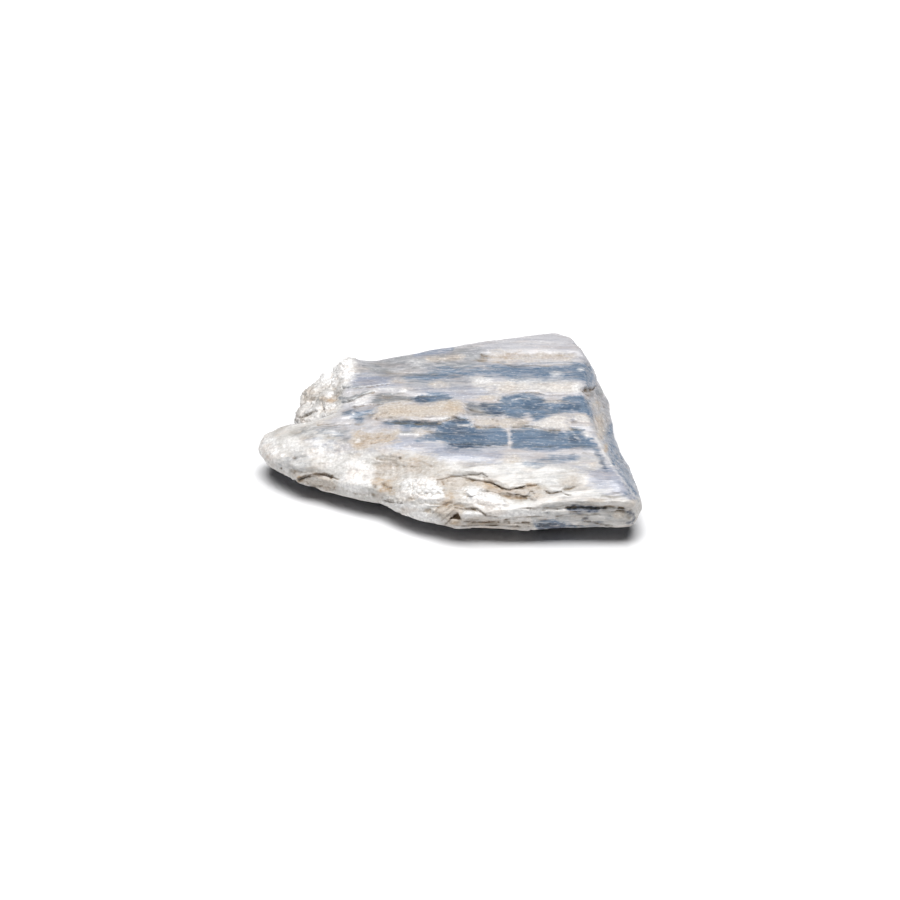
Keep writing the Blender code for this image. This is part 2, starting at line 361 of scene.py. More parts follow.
@dataclass(frozen=True)
class Lump:
    """A lump pushed out of the surface, or a pit where its height is negative.

    It lies where the pixel at its middle meets the stone. Radius and height are millimetres.
    """

    name: str
    at: Pixel
    radius: float
    height: float
    flat: float = 1.0

    def push(self, points: np.ndarray, centre: np.ndarray) -> np.ndarray:
        """Gives how far the lump moves each point out along its normal, in millimetres."""
        gap = (points - centre) / (self.radius, self.radius, self.radius * self.flat)
        return self.height * (1.0 - ramp(np.linalg.norm(gap, axis=1)))


PALE_BAND: Outline = (
    (470, 378), (500, 378), (540, 379), (580, 382), (580, 392), (550, 392), (520, 390), (490, 394),
    (472, 388),
)
MIDDLE_SCAB: Outline = (
    (529, 427), (540, 421), (552, 416), (565, 414), (573, 416), (573, 422), (568, 429), (556, 430),
    (545, 429),
)
RIGHT_SCAB: Outline = (
    (574, 415), (583, 414.5), (590, 419), (589, 425), (580, 424.5), (575, 420),
)
SANDY_SHEET: Outline = (
    (373, 417), (378, 408), (386, 403), (398, 400.5), (410, 402), (422, 404.5), (436, 402), (446, 399.5),
    (458, 400.5), (465, 404), (464, 412), (455, 416.5), (444, 418), (430, 419), (400, 418), (384, 419),
)
MIDDLE_BEIGE: Outline = (
    (471, 417), (485, 416.5), (500, 418), (508, 417), (525, 420), (531, 425), (515, 428), (500, 427),
    (481, 427), (474, 425),
)
FRONT_SAND: Outline = (
    (371, 456), (385, 454), (400, 453.5), (415, 453.5), (432, 455), (441, 461), (452, 467), (456, 474),
    (436, 477), (420, 477), (405, 475), (396, 480), (399, 488), (392, 497), (378, 494), (371, 486),
    (369, 470),
)

MARKS: dict[Mineral, tuple[Mark, ...]] = {
    Mineral.CREAM: (
        Field("front slope", ((338, 452), (372, 452), (420, 452), (450, 460), (500, 461), (560, 465),
            (590, 476), (645, 500), (650, 535), (450, 540), (395, 524), (345, 504), (300, 494),
            (255, 472), (250, 440), (270, 425), (300, 423), (330, 430), (342, 440)), 1.0, 5),
        Field("break", ((290, 430), (296, 400), (300, 380), (318, 362), (340, 352), (356, 358),
            (352, 372), (345, 390), (342, 410), (320, 428)), 0.95, 4),
        Field("pale band", PALE_BAND, 0.6, 4),
        Spot("tongue", (588, 464), (16, 9), 0.7, 3),
        Spot("white shelf", (525, 468), (28, 6), 0.6, 4),
    ),
    Mineral.GREY: (
        Field("dome", ((350, 366), (362, 362), (400, 354), (440, 348), (470, 345), (484, 352), (484, 364),
            (450, 368), (425, 372), (400, 382), (372, 386), (356, 378)), 0.62, 5.2),
        Spot("dome's darkest", (382, 372), (16, 5), 0.9, 3),
        Spot("dome's shoulder", (455, 366), (26, 4), 0.85, 2, lean=4),
        Field("dark end of the far strip", ((462, 352), (478, 347), (489, 354), (487, 363), (468, 364)),
            0.7, 4.2),
        Streak("slate line behind the blade", ((343, 387), (360, 387), (372, 385), (386, 383)), 1.6, 0.9),
        Field("grey behind the left streak", ((400, 376), (425, 378), (450, 377), (470, 380), (468, 390),
            (440, 392), (405, 388)), 0.5, 3.9),
        Field("grey dark left of the streak", ((370, 399), (378, 394.5), (392, 394), (413, 396.5),
            (413, 401.5), (396, 402.5), (382, 404.5), (373, 403)), 1.0, 2.5),
        Streak("dark diagonal before the blade", ((343, 402), (352, 400), (363, 394), (372, 391)), 1.5,
            1.0),
        Field("dark left end of the middle sheet", ((465, 405), (471, 402), (478, 405), (484, 402.5),
            (497, 404), (503, 411), (499, 417), (487, 416.5), (473, 414), (466, 411)), 1.0, 2.5),
        Field("shade of the front shelf", ((444, 464), (500, 463), (560, 466), (590, 476), (604, 486),
            (566, 490), (545, 486), (520, 483), (500, 478), (470, 474)), 0.26, 5, 2.0),
        Field("streaks of the front rim", ((556, 478), (600, 487), (638, 498), (638, 503), (560, 502),
            (540, 495)), 0.28, 4, 2.0),
        Streak("streak under the groove", ((540, 512), (560, 513.5), (574, 514.5)), 1.4, 0.65, 1.5, 1.2),
        Streak("second streak under the groove", ((592, 516.5), (608, 517), (624, 516)), 1.0, 0.55, 1.5,
            1.2),
        Streak("third streak under the groove", ((570, 524), (590, 525.5), (612, 527)), 1.2, 0.6, 1.5,
            1.2),
        Streak("fibres of the front", ((500, 513.5), (520, 514), (545, 513)), 1.0, 0.35, 1.5, 1.2),
        Streak("low fibres of the front", ((498, 519), (520, 519.6), (536, 519)), 1.0, 0.35, 1.5, 1.2),
        Streak("streak at the groove's left", ((530, 506), (545, 507), (562, 506.5)), 1.2, 0.55, 1.5,
            1.2),
        Streak("streak on the front rim", ((565, 499), (590, 500.5), (620, 502)), 1.2, 0.4, 2.0, 1.2),
        Field("lobe's grey top", ((300, 428), (320, 425), (345, 424), (352, 434), (340, 440), (315, 441),
            (295, 436)), 0.5, 3.9),
        Field("dark left of the ochre", ((341, 437), (352, 434), (355, 441), (350, 444), (342, 443)),
            0.75, 3.4),
        Field("lobe's mottled front", ((276, 458), (286, 451), (300, 451), (312, 454), (314, 466),
            (304, 473), (288, 472), (277, 467)), 0.5, 5.2, 2.2),
        Field("lens", ((399, 430.5), (405, 428.2), (413, 428.8), (417, 431.2), (411, 433), (402, 433)),
            1.0, 1.2, 0.6),
        Streak("grey edge over the main band", ((512, 428), (522, 426.5), (532, 427.5)), 1.2, 0.9),
        Field("grey between the front cracks and the groove", ((540, 505), (565, 503), (625, 504),
            (636, 512), (630, 524), (600, 528), (570, 524), (545, 520)), 0.3, 3.4),
        Field("belly's grey right", ((486, 508), (540, 506), (545, 520), (530, 528), (490, 529),
            (470, 520)), 0.12, 3.9),
        Field("upper end face", ((583, 385), (592, 383), (603, 386), (611, 405), (616, 425), (606, 440),
            (600, 432), (592, 412), (584, 396)), 0.45, 3.4),
        Spot("dark of the end face", (600, 391), (5, 6), 0.8, lean=20),
        Field("slate before the ridge", ((585, 399), (591, 408), (597, 425), (601, 436), (596, 436),
            (589, 420), (583, 404)), 0.5, 2.5),
        Field("break's shaded side", ((316, 384), (335, 382), (345, 388), (345, 405), (322, 412),
            (306, 412), (306, 400)), 0.15, 3.9),
        Streak("dark behind the break's foot", ((340, 398), (350, 399), (357, 396)), 1.8, 0.9),
        Streak("under the lobe", ((270, 468), (280, 477), (300, 483), (320, 489)), 2.2, 0.4, 2),
    ),
    Mineral.LAVENDER: (
        Field("before the sandy sheet", ((384, 437), (410, 436), (434, 441), (450, 447), (480, 449),
            (505, 450), (500, 462), (470, 464), (440, 460), (420, 452), (395, 449)), 0.75, 3.9),
        Field("left shelf", ((350, 376), (366, 373), (398, 379), (402, 385), (380, 388), (352, 385)), 0.8,
            4.2),
        Field("behind the break foot", ((410, 386), (440, 386), (470, 384), (500, 387), (492, 398),
            (465, 400), (430, 396)), 0.5, 3.9),
        Field("above the sandy sheet", ((380, 423), (400, 425), (416, 427), (412, 430), (395, 429),
            (382, 427)), 0.8, 3.2),
        Field("right corner", ((588, 474), (604, 466), (618, 470), (630, 485), (636, 495), (620, 496),
            (600, 490), (588, 484)), 0.8, 3.9),
        Spot("tongue", (588, 465), (15, 9), 0.3, 3),
        Spot("corner's purple", (630, 497), (8, 2.2), 0.8),
        Field("far ledge", ((480, 345), (520, 334), (560, 333), (577, 340), (582, 352), (560, 352),
            (520, 350), (490, 352)), 0.12, 5),
        Spot("far ledge's blue", (568, 347), (9, 6), 0.25, 3),
        Spot("between the scabs", (570, 421), (5, 4), 0.8),
        Spot("under the scab", (557, 429), (13, 2), 0.7),
        Spot("before the parting", (545, 450), (16, 2.4), 0.6, lean=4),
        Streak("pale ridge of the dome", ((416, 355), (432, 352.5), (450, 350)), 2.6, 0.8, 2),
        Field("lobe's bluish top", ((305, 440), (330, 440), (345, 447), (338, 455), (318, 452)), 0.5,
            3.9),
        Field("far band's pale middle", ((486, 371), (500, 372), (515, 376), (500, 382), (484, 380)), 0.6,
            3.4),
        Spot("end face's pale middle", (611, 446), (4, 6), 0.7, 2, 1.2, lean=-30),
        Spot("end face's pale foot", (621, 474), (3.4, 9), 0.65, 2, 1.2, lean=-25),
        Spot("end face's pale top", (600, 378), (3, 7), 0.5, 2, 1.2, lean=-15),
        Spot("end face's pale edge", (614, 424), (4, 8), 0.5, lean=-14),
    ),
    Mineral.BLUE: (
        Field("main sheet", ((433, 436), (436, 427), (443, 423), (452, 421), (456, 417.5), (464, 417),
            (470, 421), (473, 425), (481, 427), (497, 427), (505, 430), (508.5, 436), (509, 445),
            (498, 447.5), (480, 448), (462, 447), (448, 445), (437, 442)), 1.0, 1.8),
        Field("right of the parting", ((510, 429), (530, 426.5), (546, 430), (564, 431), (571, 428),
            (581, 429), (588, 436), (597, 443), (598, 449), (585, 449), (560, 449), (535, 449.5),
            (512, 448)), 1.0, 1.8),
        Field("middle sheet", ((497, 403), (505, 396), (518, 394), (532, 394.5), (544, 397), (547, 400.5),
            (557, 401), (563, 396.5), (580, 393.5), (587, 401), (594, 414), (593, 421), (588, 415),
            (578, 412), (560, 413), (546, 417), (537, 421), (528, 414.5), (520, 419), (509, 419),
            (502, 413)), 1.0, 2),
        Field("grey edge of the middle sheet", ((484, 404), (500, 403), (502, 415), (490, 414)), 0.7,
            3.2),
        Field("far band", ((404, 378), (420, 371), (440, 366.5), (470, 366), (490, 365), (503, 362.5),
            (520, 363.5), (535, 365.5), (548, 364.5), (560, 366), (572, 362), (584, 361), (592, 366),
            (597, 376), (595, 386), (588, 386), (581, 381), (566, 380), (550, 381), (530, 379.5),
            (515, 380), (500, 377), (480, 375), (462, 377), (446, 380), (425, 382)), 0.8, 3.7),
        Spot("far band's deep right", (578, 369), (13, 7), 0.85, 2),
        Spot("far band's deep middle", (540, 371), (20, 4.5), 0.85, 2),
        Spot("far band's deep left", (437, 373), (12, 5), 0.85, 2),
        Field("left streak", ((412, 400), (418, 396), (430, 394.5), (446, 394.5), (454, 397), (447, 402),
            (432, 404.5), (420, 404)), 1.0, 1.4),
        Field("strip before the sandy sheet", ((381, 422), (395, 420), (415, 421), (438, 421.5),
            (440, 428), (428, 430), (415, 427.5), (398, 425.5), (386, 425)), 0.95, 1.2, 0.8),
        Field("corner of the main sheet", ((414, 438), (424, 434), (434, 430), (437, 436), (438, 443),
            (428, 441.5), (417, 441)), 0.8, 1.5),
        Field("left pocket", ((343, 413), (352, 409.5), (360, 411), (374, 410), (374, 414.5),
            (364, 416.5), (362, 422), (357, 424.5), (353, 420), (350, 416), (343, 415.5)), 0.8, 2.2, 1.3),
        Field("front strip", ((526, 463), (536, 458.5), (548, 456), (560, 453), (574, 452.5), (578, 457),
            (570, 461.5), (556, 463), (538, 465.5)), 0.62, 2.8, 1.6),
        Streak("pale strip under the main sheet", ((446, 448), (462, 449.5), (480, 450)), 1.6, 0.5, 1.5),
        Field("lower end face", ((602, 436), (606, 428), (614, 428), (619, 445), (627, 462), (634, 480),
            (641, 499), (634, 495), (625, 483), (615, 467), (606, 452)), 0.62, 3.7),
        Spot("end face's blue patch", (616, 458), (4, 8), 0.9, 2, 1.4, lean=-28),
        Spot("end face's upper blue", (611, 431), (3.4, 6), 0.8, 2, 1.4, lean=-15),
        Spot("end face's low blue", (631, 487), (3.4, 9), 0.6, 2, 1.4, lean=-25),
        Streak("dark edge of the end face", ((621, 467), (628, 482), (636, 494)), 1.5, 0.85, 1.5),
        Streak("dark blue chain", ((597, 450), (600, 456), (603, 463), (606, 469)), 2.6, 0.6, 2.6, 0.7),
        Field("navy under the groove", ((533, 520), (546, 519), (560, 521), (577, 524), (575, 530),
            (553, 530), (540, 529), (534, 525)), 0.75, 2.6, 1.8),
        Spot("grey-blue under the groove", (586, 525), (14, 3.5), 0.4, 2.0, 1.2),
        Streak("dome's blue strip", ((416, 354), (440, 351), (452, 349.5)), 1.8, 0.55, 2),
        Streak("lobe's slate", ((316, 431), (330, 432), (342, 436)), 2.2, 0.3, 2),
    ),
    Mineral.NAVY: (
        Field("heart of the main sheet", ((439, 428), (449, 423.5), (457, 419), (466, 420), (471, 427),
            (480, 430), (486, 436), (484, 446), (466, 446), (452, 443.5), (441, 437)), 0.95, 3),
        Spot("deep before the parting", (552, 434), (12, 3), 0.8),
        Spot("deep near the ridge", (574, 438), (7, 5), 0.8, lean=-20),
        Spot("heart of the middle sheet", (533, 403), (11, 8), 0.7, 2, lean=20),
        Spot("right heart of the middle sheet", (571, 407), (11, 3.6), 0.95),
        Spot("top edge of the middle sheet", (517, 397), (16, 2.4), 0.8, 1.6, lean=2),
        Spot("end of the left streak", (422, 400), (8, 3.2), 1.0),
        # Partly the deep blue layer under the rim, partly painted shade, as it lies in shade under the
        # rim.
        Spot("under the rim", (554, 526), (16, 3), 0.9, 1.6, 0.8),
        Spot("corner of the strip", (432, 425), (6, 3.4), 0.9),
        Spot("left pocket's heart", (358, 419), (4, 3), 0.5),
        Spot("far right", (584, 371), (8, 4), 0.4, 2),
        Field("left end of the middle sheet", ((480, 408), (486, 405), (500, 404), (503, 411), (500, 416),
            (487, 415.5)), 0.75, 2.5),
    ),
    Mineral.DEEP: (
        # Partly the deep blue layer under the rim, partly painted shade: these spots darken it as the
        # shade there does.
        Spot("under the rim", (542, 526), (3.4, 3.2), 1.0, 1.6, 0.8),
        Spot("under the rim's middle", (555, 526.5), (8, 2.6), 1.0, 1.4, 0.8),
        Spot("under the rim's right", (566, 526), (5, 1.8), 0.7, 1.4, 0.8),
        Streak("line over the navy", ((544, 523.2), (552, 523)), 0.7, 0.7),
        # Partly the groove's slate, partly painted shade in the groove, whose cut is shallow.
        Field("groove's slate", ((565, 507.4), (572, 505.2), (590, 505.4), (600, 507), (606, 508.4),
            (600, 510.8), (590, 512.6), (576, 512.8), (568, 510.6)), 1.0, 1.6, 0.8),
        Spot("under the groove", (581, 512.6), (8, 2.2), 0.6, 1.4, 0.8),
        Spot("second under the groove", (587, 517.5), (4.2, 2.4), 0.65, 1.4, 1.2, lean=10),
        Spot("third under the groove", (596, 513.5), (5, 1.4), 0.4, 1.2, 1.0, lean=5),
        Streak("line under the groove", ((582, 520.5), (592, 521.5), (603, 522)), 0.8, 0.5, 0.9, 0.5),
        Spot("corner of the strip", (433, 425), (5.5, 3), 0.45, 2),
        Spot("end of the left streak", (420, 400), (7, 2.4), 0.5, 2),
        Streak("foot of the main sheet", ((450, 443.8), (466, 446), (482, 446.8), (497, 446)), 1.3, 0.65,
            1.4, 0.7),
        Spot("dark end by the sandy sheet", (472, 406), (5.5, 3), 0.4, 2, 1.0),
        Spot("dark streak by the sandy sheet", (487, 412), (12, 2), 0.4, 1.6, 1.0, lean=4),
        Spot("back of the main sheet", (459, 420.5), (8, 2), 0.5, 1.6, 1.0),
        Spot("chain by the tongue", (598, 454), (3.4, 2.2), 0.55, 1.6, 0.6, lean=-20),
        Spot("chain's middle", (602, 461), (2.4, 3.2), 0.6, 1.6, 0.6, lean=-20),
        Spot("chain's foot", (604, 468), (3.2, 2), 0.55, 1.6, 0.6, lean=-20),
        Spot("heart of the main sheet", (454, 431), (10, 4.4), 0.35, 4, 1.0),
        Spot("deep of the right end", (575, 439), (6, 3.4), 0.35, 2.5, 1.0),
        Spot("deep of the left pocket", (358, 419), (3, 2.4), 0.3, 2),
        Streak("slate of the middle sheet", ((482, 406), (491, 410), (501, 414)), 2.2, 0.55, 2.0, 1.0),
        Streak("under the sandy sheet", ((384, 421.8), (400, 421.6), (420, 421.8), (436, 423)), 1.2, 0.35,
            1.5, 0.6),
        # Painted shade: a dark crescent round the nub.
        Streak("painted shade of the nub's crescent", ((628, 512.6), (633, 513.6), (634.5, 518), (632, 522), (627, 523)), 1.5,
            0.75),
    ),
    Mineral.SAND: (
        Field("scab on the middle sheet", MIDDLE_SCAB, 0.62, 2.4),
        Field("right scab", RIGHT_SCAB, 0.55, 2),
        Field("sandy sheet", SANDY_SHEET, 0.9, 3.1),
        Spot("deep sand on its left", (400, 411), (18, 5.5), 1.0, 2),
        Spot("deep sand on its right", (452, 408), (12, 7), 1.0, 2, lean=20),
        Field("beige before the middle sheet", MIDDLE_BEIGE, 0.75, 2.7),
        Field("ochre patch", ((352, 432), (362, 430), (372, 432), (385, 433), (398, 430), (401, 440),
            (388, 443.5), (374, 446), (362, 450), (353, 449), (350, 440)), 0.85, 3.4),
        Field("cream before the strip", ((383, 429), (395, 428), (400, 431), (396, 434), (384, 434)), 0.5,
            3.2),
        Field("cream right of the lens", ((413, 429), (424, 428), (435, 429.5), (432, 433), (424, 436),
            (415, 437)), 0.55, 3.2),
        Field("front sand", FRONT_SAND, 0.55, 6.5, 3.0),
        Field("leaves between the cracks", ((436, 479), (450, 477), (470, 476), (490, 477), (500, 484),
            (520, 488), (540, 484), (549, 490), (540, 498), (520, 500), (500, 498), (484, 495),
            (470, 487), (460, 490), (463, 500), (454, 508), (441, 507), (446, 495), (438, 487)), 0.7, 3.9,
            1.8),
        Field("far beige", ((488, 353), (500, 351), (520, 353), (532, 355), (547, 351), (560, 353),
            (576, 356), (572, 361), (548, 360), (530, 361.5), (510, 363), (492, 364)), 0.62, 3.8),
        Field("pale band's peach", ((496, 386), (512, 383), (530, 386), (552, 384), (575, 383),
            (580, 389), (574, 393.5), (552, 391), (530, 389), (512, 393), (499, 394)), 0.6, 3.4),
        Spot("edge behind the middle sheet", (488, 397.5), (12, 3), 0.7, 2, lean=3),
        Spot("beige streak in the blue", (555, 402), (14, 2), 0.5),
        Streak("dome's olive line", ((428, 359), (446, 359), (463, 357)), 2.4, 0.7, 2),
        Spot("olive behind the streak", (440, 384), (12, 4), 0.5, 2),
        Spot("olive on the dome's edge", (397, 381), (7, 3), 0.5, 2),
        Spot("olive near the right", (570, 481), (11, 7), 0.62, 4, 1.4, lean=30),
        Field("lobe's tip", ((258, 447), (264, 445), (271, 449), (273, 462), (270, 470), (262, 460)),
            0.35, 3.9, 1.8),
        Spot("lobe's peach", (265, 435), (5, 3), 0.5, 2, lean=30),
        Spot("break's olive", (326, 410), (9, 2.6), 0.8),
        Spot("break's foot", (309, 419), (9, 3), 0.7, lean=12),
        Spot("break's tan", (331, 400), (6, 2), 0.8),
        Spot("break's cream", (322, 398), (4, 2.2), 0.8),
        Spot("break's taupe", (328, 384), (9, 4), 0.5, 2),
        Field("break's brown knob", ((302, 389), (309, 386.5), (315, 390), (315, 400), (308, 405),
            (303, 402)), 0.45, 3.0),
        Field("belly's sand", ((441, 503), (452, 501), (463, 507), (466, 520), (460, 527), (448, 526),
            (440, 518), (432, 512)), 0.8, 3.4),
        Spot("peach under the hole", (456, 523), (7, 3), 0.9),
        Field("brown strata", ((464, 518), (490, 518), (530, 520), (534, 528), (500, 530), (468, 529)),
            0.6, 3.1),
        Field("under the lobe's seam", ((298, 480), (315, 477), (332, 478), (338, 486), (330, 492),
            (312, 488)), 0.75, 3.4),
        Spot("beige by the nub", (619, 515), (7, 4), 0.7),
        Spot("beige right of the front strip", (513, 459), (11, 4.5), 0.55, 2),
        Spot("peach in the tongue", (593, 465), (4, 3), 0.5),
        Field("end face's olive", ((594, 416), (602, 414), (606, 430), (604, 441), (598, 440)), 0.7, 3.4),
        Spot("end face's upper peach", (597, 405), (4, 7), 0.5, 2, 1.2, lean=-10),
        Spot("end face's middle peach", (605, 447), (3, 5), 0.6, 2, 1.2, lean=-20),
        Spot("rim's peach", (598, 500.5), (10, 2.4), 0.5),
        Spot("front's tan left of the scales", (395, 482), (8, 8), 0.6, 3),
        Spot("taupe under the scales", (404, 500), (10, 4), 0.6),
        Spot("olive under the scales", (445, 505), (7, 6), 0.8, lean=30),
        Spot("warm in the lobe", (322, 465), (9, 5), 0.4, 3),
    ),
    Mineral.WHITE: (
        Field("lobe's white", ((276, 442), (290, 438), (320, 442), (344, 444), (350, 452), (345, 466),
            (330, 470), (316, 462), (300, 453), (283, 455)), 0.5, 4),
        Spot("lobe's bright scab", (281, 455), (4, 1.8), 1.0, lean=20),
        Spot("lobe's bright top", (318, 450), (8, 3), 1.0, lean=10),
        Field("scab on the middle sheet", MIDDLE_SCAB, 0.3, 2.4),
        Field("right scab", RIGHT_SCAB, 0.32, 2),
        Spot("ridge scab", (587, 434), (5, 2.4), 0.7, lean=-10),
        Field("scaly patch", ((398, 482), (408, 477), (424, 477), (436, 479), (440, 486), (447, 492),
            (448, 501), (436, 503), (420, 502), (406, 500), (398, 494)), 0.78, 3.4),
        Field("quartz lump", ((464, 489), (473, 486), (486, 489), (500, 497), (508, 502), (504, 509),
            (486, 508.5), (472, 503), (465, 497)), 1.0, 2.7),
        Field("white before the lobe", ((342, 460), (356, 456), (369, 458), (371, 470), (372, 486),
            (366, 493), (350, 491), (340, 478)), 0.85, 9.0, 3.0),
        Field("front rim", ((494, 466), (510, 464), (545, 467), (580, 466), (592, 478), (610, 488),
            (636, 498), (640, 504), (600, 504.5), (560, 503), (545, 498), (552, 488), (530, 483),
            (505, 484), (494, 477)), 0.1, 4.2),
        Field("shelf behind the cracks", ((440, 463), (470, 465), (496, 465), (496, 476), (470, 474),
            (452, 474)), 0.2, 4.2),
        Field("under the scales", ((384, 498), (400, 500), (430, 504), (430, 515), (440, 524), (420, 523),
            (404, 518), (392, 508), (380, 503)), 0.7, 4),
        # Painted light: the lobe's tip and front face down and away from the lamp, and are painted paler
        # as if lit.
        Spot("painted light on the lobe's tip", (268, 449), (12, 14), 0.75, 4),
        Spot("painted light on the lobe's front", (292, 464), (18, 9), 0.3, 4, lean=10),
        Spot("quartz lump's foot", (489, 503), (14, 5), 1.0, 2, lean=12),
        Spot("white under the lobe's right", (354, 480), (14, 12), 1.0, 5, 1.5),
        Spot("quartz lump's head", (476, 492.5), (11, 5), 1.0, 1.6, lean=20),
        Spot("belly's pale right", (516, 514), (32, 7), 0.6, 3, lean=2),
        # The break's white: partly its own quartz and mica, partly painted light and glints that make it
        # brighter than the lamp does.
        Spot("break's top lump", (342, 365), (7, 6), 0.95, 2),
        Spot("break's left lump", (327, 376), (4, 4), 1.0),
        Spot("break's middle lump", (341, 378), (5, 4), 0.95),
        Spot("break's low lump", (329, 394), (5, 3), 1.0),
        Field("break's pale", ((320, 372), (335, 358), (352, 357), (356, 372), (350, 384), (330, 386),
            (316, 384)), 1.0, 5),
        Field("break's pale foot", ((300, 404), (318, 403), (340, 404), (340, 412), (318, 424),
            (296, 426), (290, 424), (304, 414)), 0.6, 3.9),
        Spot("break's dot", (308, 403), (2, 2), 1.0),
        Spot("break's second dot", (314, 403), (2, 1.8), 1.0),
        Spot("break's third dot", (333, 405), (3.4, 2), 1.0),
        Spot("pale band's streak", (485, 381), (9, 3), 0.9, 2),
        Spot("pale band's scab", (577, 387), (6, 5), 0.7, 2),
        Field("pale band", PALE_BAND, 0.35, 3.9),
        Streak("pale line behind the dark", ((370, 390.5), (382, 389.5), (396, 390)), 1.8, 0.4, 1.2),
        Field("blade", ((351, 404.5), (357, 399), (363, 396.5), (371, 393.5), (369, 400), (360, 405.5)),
            0.6, 1.7),
        Streak("streak under the lens", ((401, 434.5), (409, 434), (418, 434.5)), 1.1, 0.6),
        Streak("teal white", ((440, 418.5), (450, 418.5)), 1.4, 0.7),
        Spot("streak in the main sheet", (466, 425), (5, 1), 0.6, 0.8),
        Streak("pale edge of the hump", ((512, 400), (520, 398.5), (530, 400)), 0.8, 0.35),
        Streak("parting", ((509.2, 424), (509, 430), (509.5, 447), (509, 462)), 1.1, 0.3, 1.6, 0.4),
        Streak("pale diagonal", ((569, 428), (572, 432), (576, 437), (580, 441)), 1.3, 0.3, 1.2, 0.6),
        Streak("second pale diagonal", ((563, 431), (567, 436), (570, 442)), 1.0, 0.25, 1.2, 0.6),
        Streak("pale hook", ((580, 429), (583, 434), (588, 439)), 1.0, 0.25, 1.2, 0.6),
        Field("tongue", ((570, 462), (580, 456), (594, 455), (601, 459), (602, 469), (594, 476),
            (582, 474), (572, 470)), 0.12, 3.4),
        Field("white shelf", ((500, 464), (540, 466), (570, 464), (572, 474), (540, 480), (505, 480)),
            0.15, 3.9),
        Streak("pale ridge line", ((586, 352), (592, 366), (598, 380), (606, 396)), 1.2, 0.5, 1.5),
        Streak("lower ridge line", ((596, 438), (603, 451), (612, 466), (622, 480), (634, 495)), 1.0, 0.5,
            1.2),
        Spot("pale in the grey", (417, 362), (10, 4), 0.4, 3),
        Spot("dot behind the streak", (404, 390), (3, 1.6), 0.9),
        Spot("dot in the pocket", (353, 413.5), (1.6, 1.4), 0.7),
        Spot("dot in the ochre", (358, 441), (2, 1.6), 1.0),
        Spot("dot in the front sand", (393, 467), (2, 2), 0.9),
        Spot("belly's lump", (471, 514), (9, 4), 0.6, 1.6, 1.0, lean=8),
        Spot("belly's second lump", (497, 504), (14, 5), 0.7, 2),
        Spot("pale in the far band", (557, 374), (6, 3), 0.5, 2),
        Spot("pale in the far right", (581, 369.5), (4, 1.6), 0.5),
    ),
    Mineral.RUST: (
        Spot("ochre left", (360, 434), (8, 3.4), 0.3, 2),
        Spot("ochre middle", (383, 438), (17, 5), 0.3, 2),
        Spot("ochre low", (360, 445), (8, 4), 0.35, 2, lean=20),
        Spot("deep of the sandy sheet", (398, 411), (15, 4), 0.25, 2),
        Spot("deep of its right", (452, 407), (8, 5), 0.35, 2),
        Field("front rust", ((372, 478), (382, 477), (392, 483), (393, 492), (384, 491), (375, 487)),
            0.75, 3.0, 3.0),
        Spot("front tan", (412, 461), (16, 6), 0.2, 3),
        Spot("rust between the cracks", (490, 487), (12, 4), 0.6, 2, lean=-12),
        Spot("rust at the cracks' right", (532, 486), (7, 3), 0.6, 2),
        Spot("rust above the hole", (449, 497), (5, 7), 0.5, 2),
        Spot("rust right of the cracks", (517, 498), (12, 3), 0.5),
        Spot("break's knob", (307, 397), (3, 4), 0.2, 2),
        Spot("break's tan line", (331, 400.5), (5, 1.6), 0.7),
        Spot("lobe's tip", (266, 455), (4, 6), 0.25, 2),
        Spot("under the hole", (455, 523), (5, 2), 0.5),
        Spot("lobe's seam end", (300, 479), (4, 3), 0.75, lean=20),
        Spot("strata", (486, 523), (16, 3), 0.25),
        Spot("under the scales", (411, 499), (4, 3), 0.3),
        Spot("olive under the scales", (446, 504), (4, 4), 0.5, lean=30),
        Spot("far beige", (503, 357), (9, 3), 0.25, 2),
        Spot("dome's dark brown", (484, 357), (4, 5), 0.3, 2),
        Spot("end face's brown", (606, 449), (2, 3), 0.6),
    ),
    Mineral.DARK: (
        Streak("under the sandy sheet", ((377, 419), (390, 418.5), (403, 419.5), (420, 419.5),
            (438, 421)), 1.4, 0.35, 1.2, 0.5),
        Field("notch", ((582, 390), (586, 387), (592, 387.5), (597, 385), (594, 391), (588, 393),
            (584, 393)), 0.3, 1.0),
        Spot("brown under the notch", (590, 394), (4, 3), 0.4),
        Streak("break's dark line", ((303, 417), (308, 414.5), (314, 411.5)), 1.4, 0.62),
        Field("break's olive knob", ((292, 421), (296, 416), (301, 414.5), (303, 418), (300, 421.5)),
            0.55, 1.2),
        Spot("break's hollow", (314, 398.5), (3, 2), 0.4),
        Spot("dark dot on the lobe", (281, 468.5), (1.6, 1.2), 0.6, 0.8),
        Spot("second dot on the lobe", (283, 475), (1.3, 1.3), 0.5, 0.8),
        Spot("dark fleck on the lobe", (294, 458), (3, 1), 0.55, 0.8),
        Streak("fleck line on the lobe", ((334, 449.5), (342, 451)), 0.8, 0.4),
        Streak("second fleck line", ((317, 463.5), (325, 463.5)), 0.7, 0.4),
        Spot("mottle on the lobe", (291, 466), (3, 2.4), 0.35),
        Streak("lobe's seam", ((299, 479), (306, 476.5), (312, 475), (318, 474.5), (325, 474.5),
            (332, 476.5)), 1.9, 0.9),
        Streak("seam's darkest", ((313, 475.2), (319, 474.4), (326, 474.6), (332, 476.4)), 1.3, 1.0),
        Spot("seam's left dot", (300, 480.5), (2, 1.4), 0.6),
        Streak("lower seam", ((311, 486), (320, 486.5)), 1.2, 0.6),
        Streak("lower seam's right", ((326, 490), (335, 490)), 1.0, 0.45),
        Spot("dot in the sand", (400, 458), (1.5, 1.5), 0.75, 0.8),
        Streak("dash in the sand", ((411, 466.5), (417, 466.5)), 0.8, 0.5),
        Spot("rust's darkest", (375, 486), (2, 1.8), 0.8),
        Spot("rust's second dark", (383, 484), (2, 1.8), 0.75),
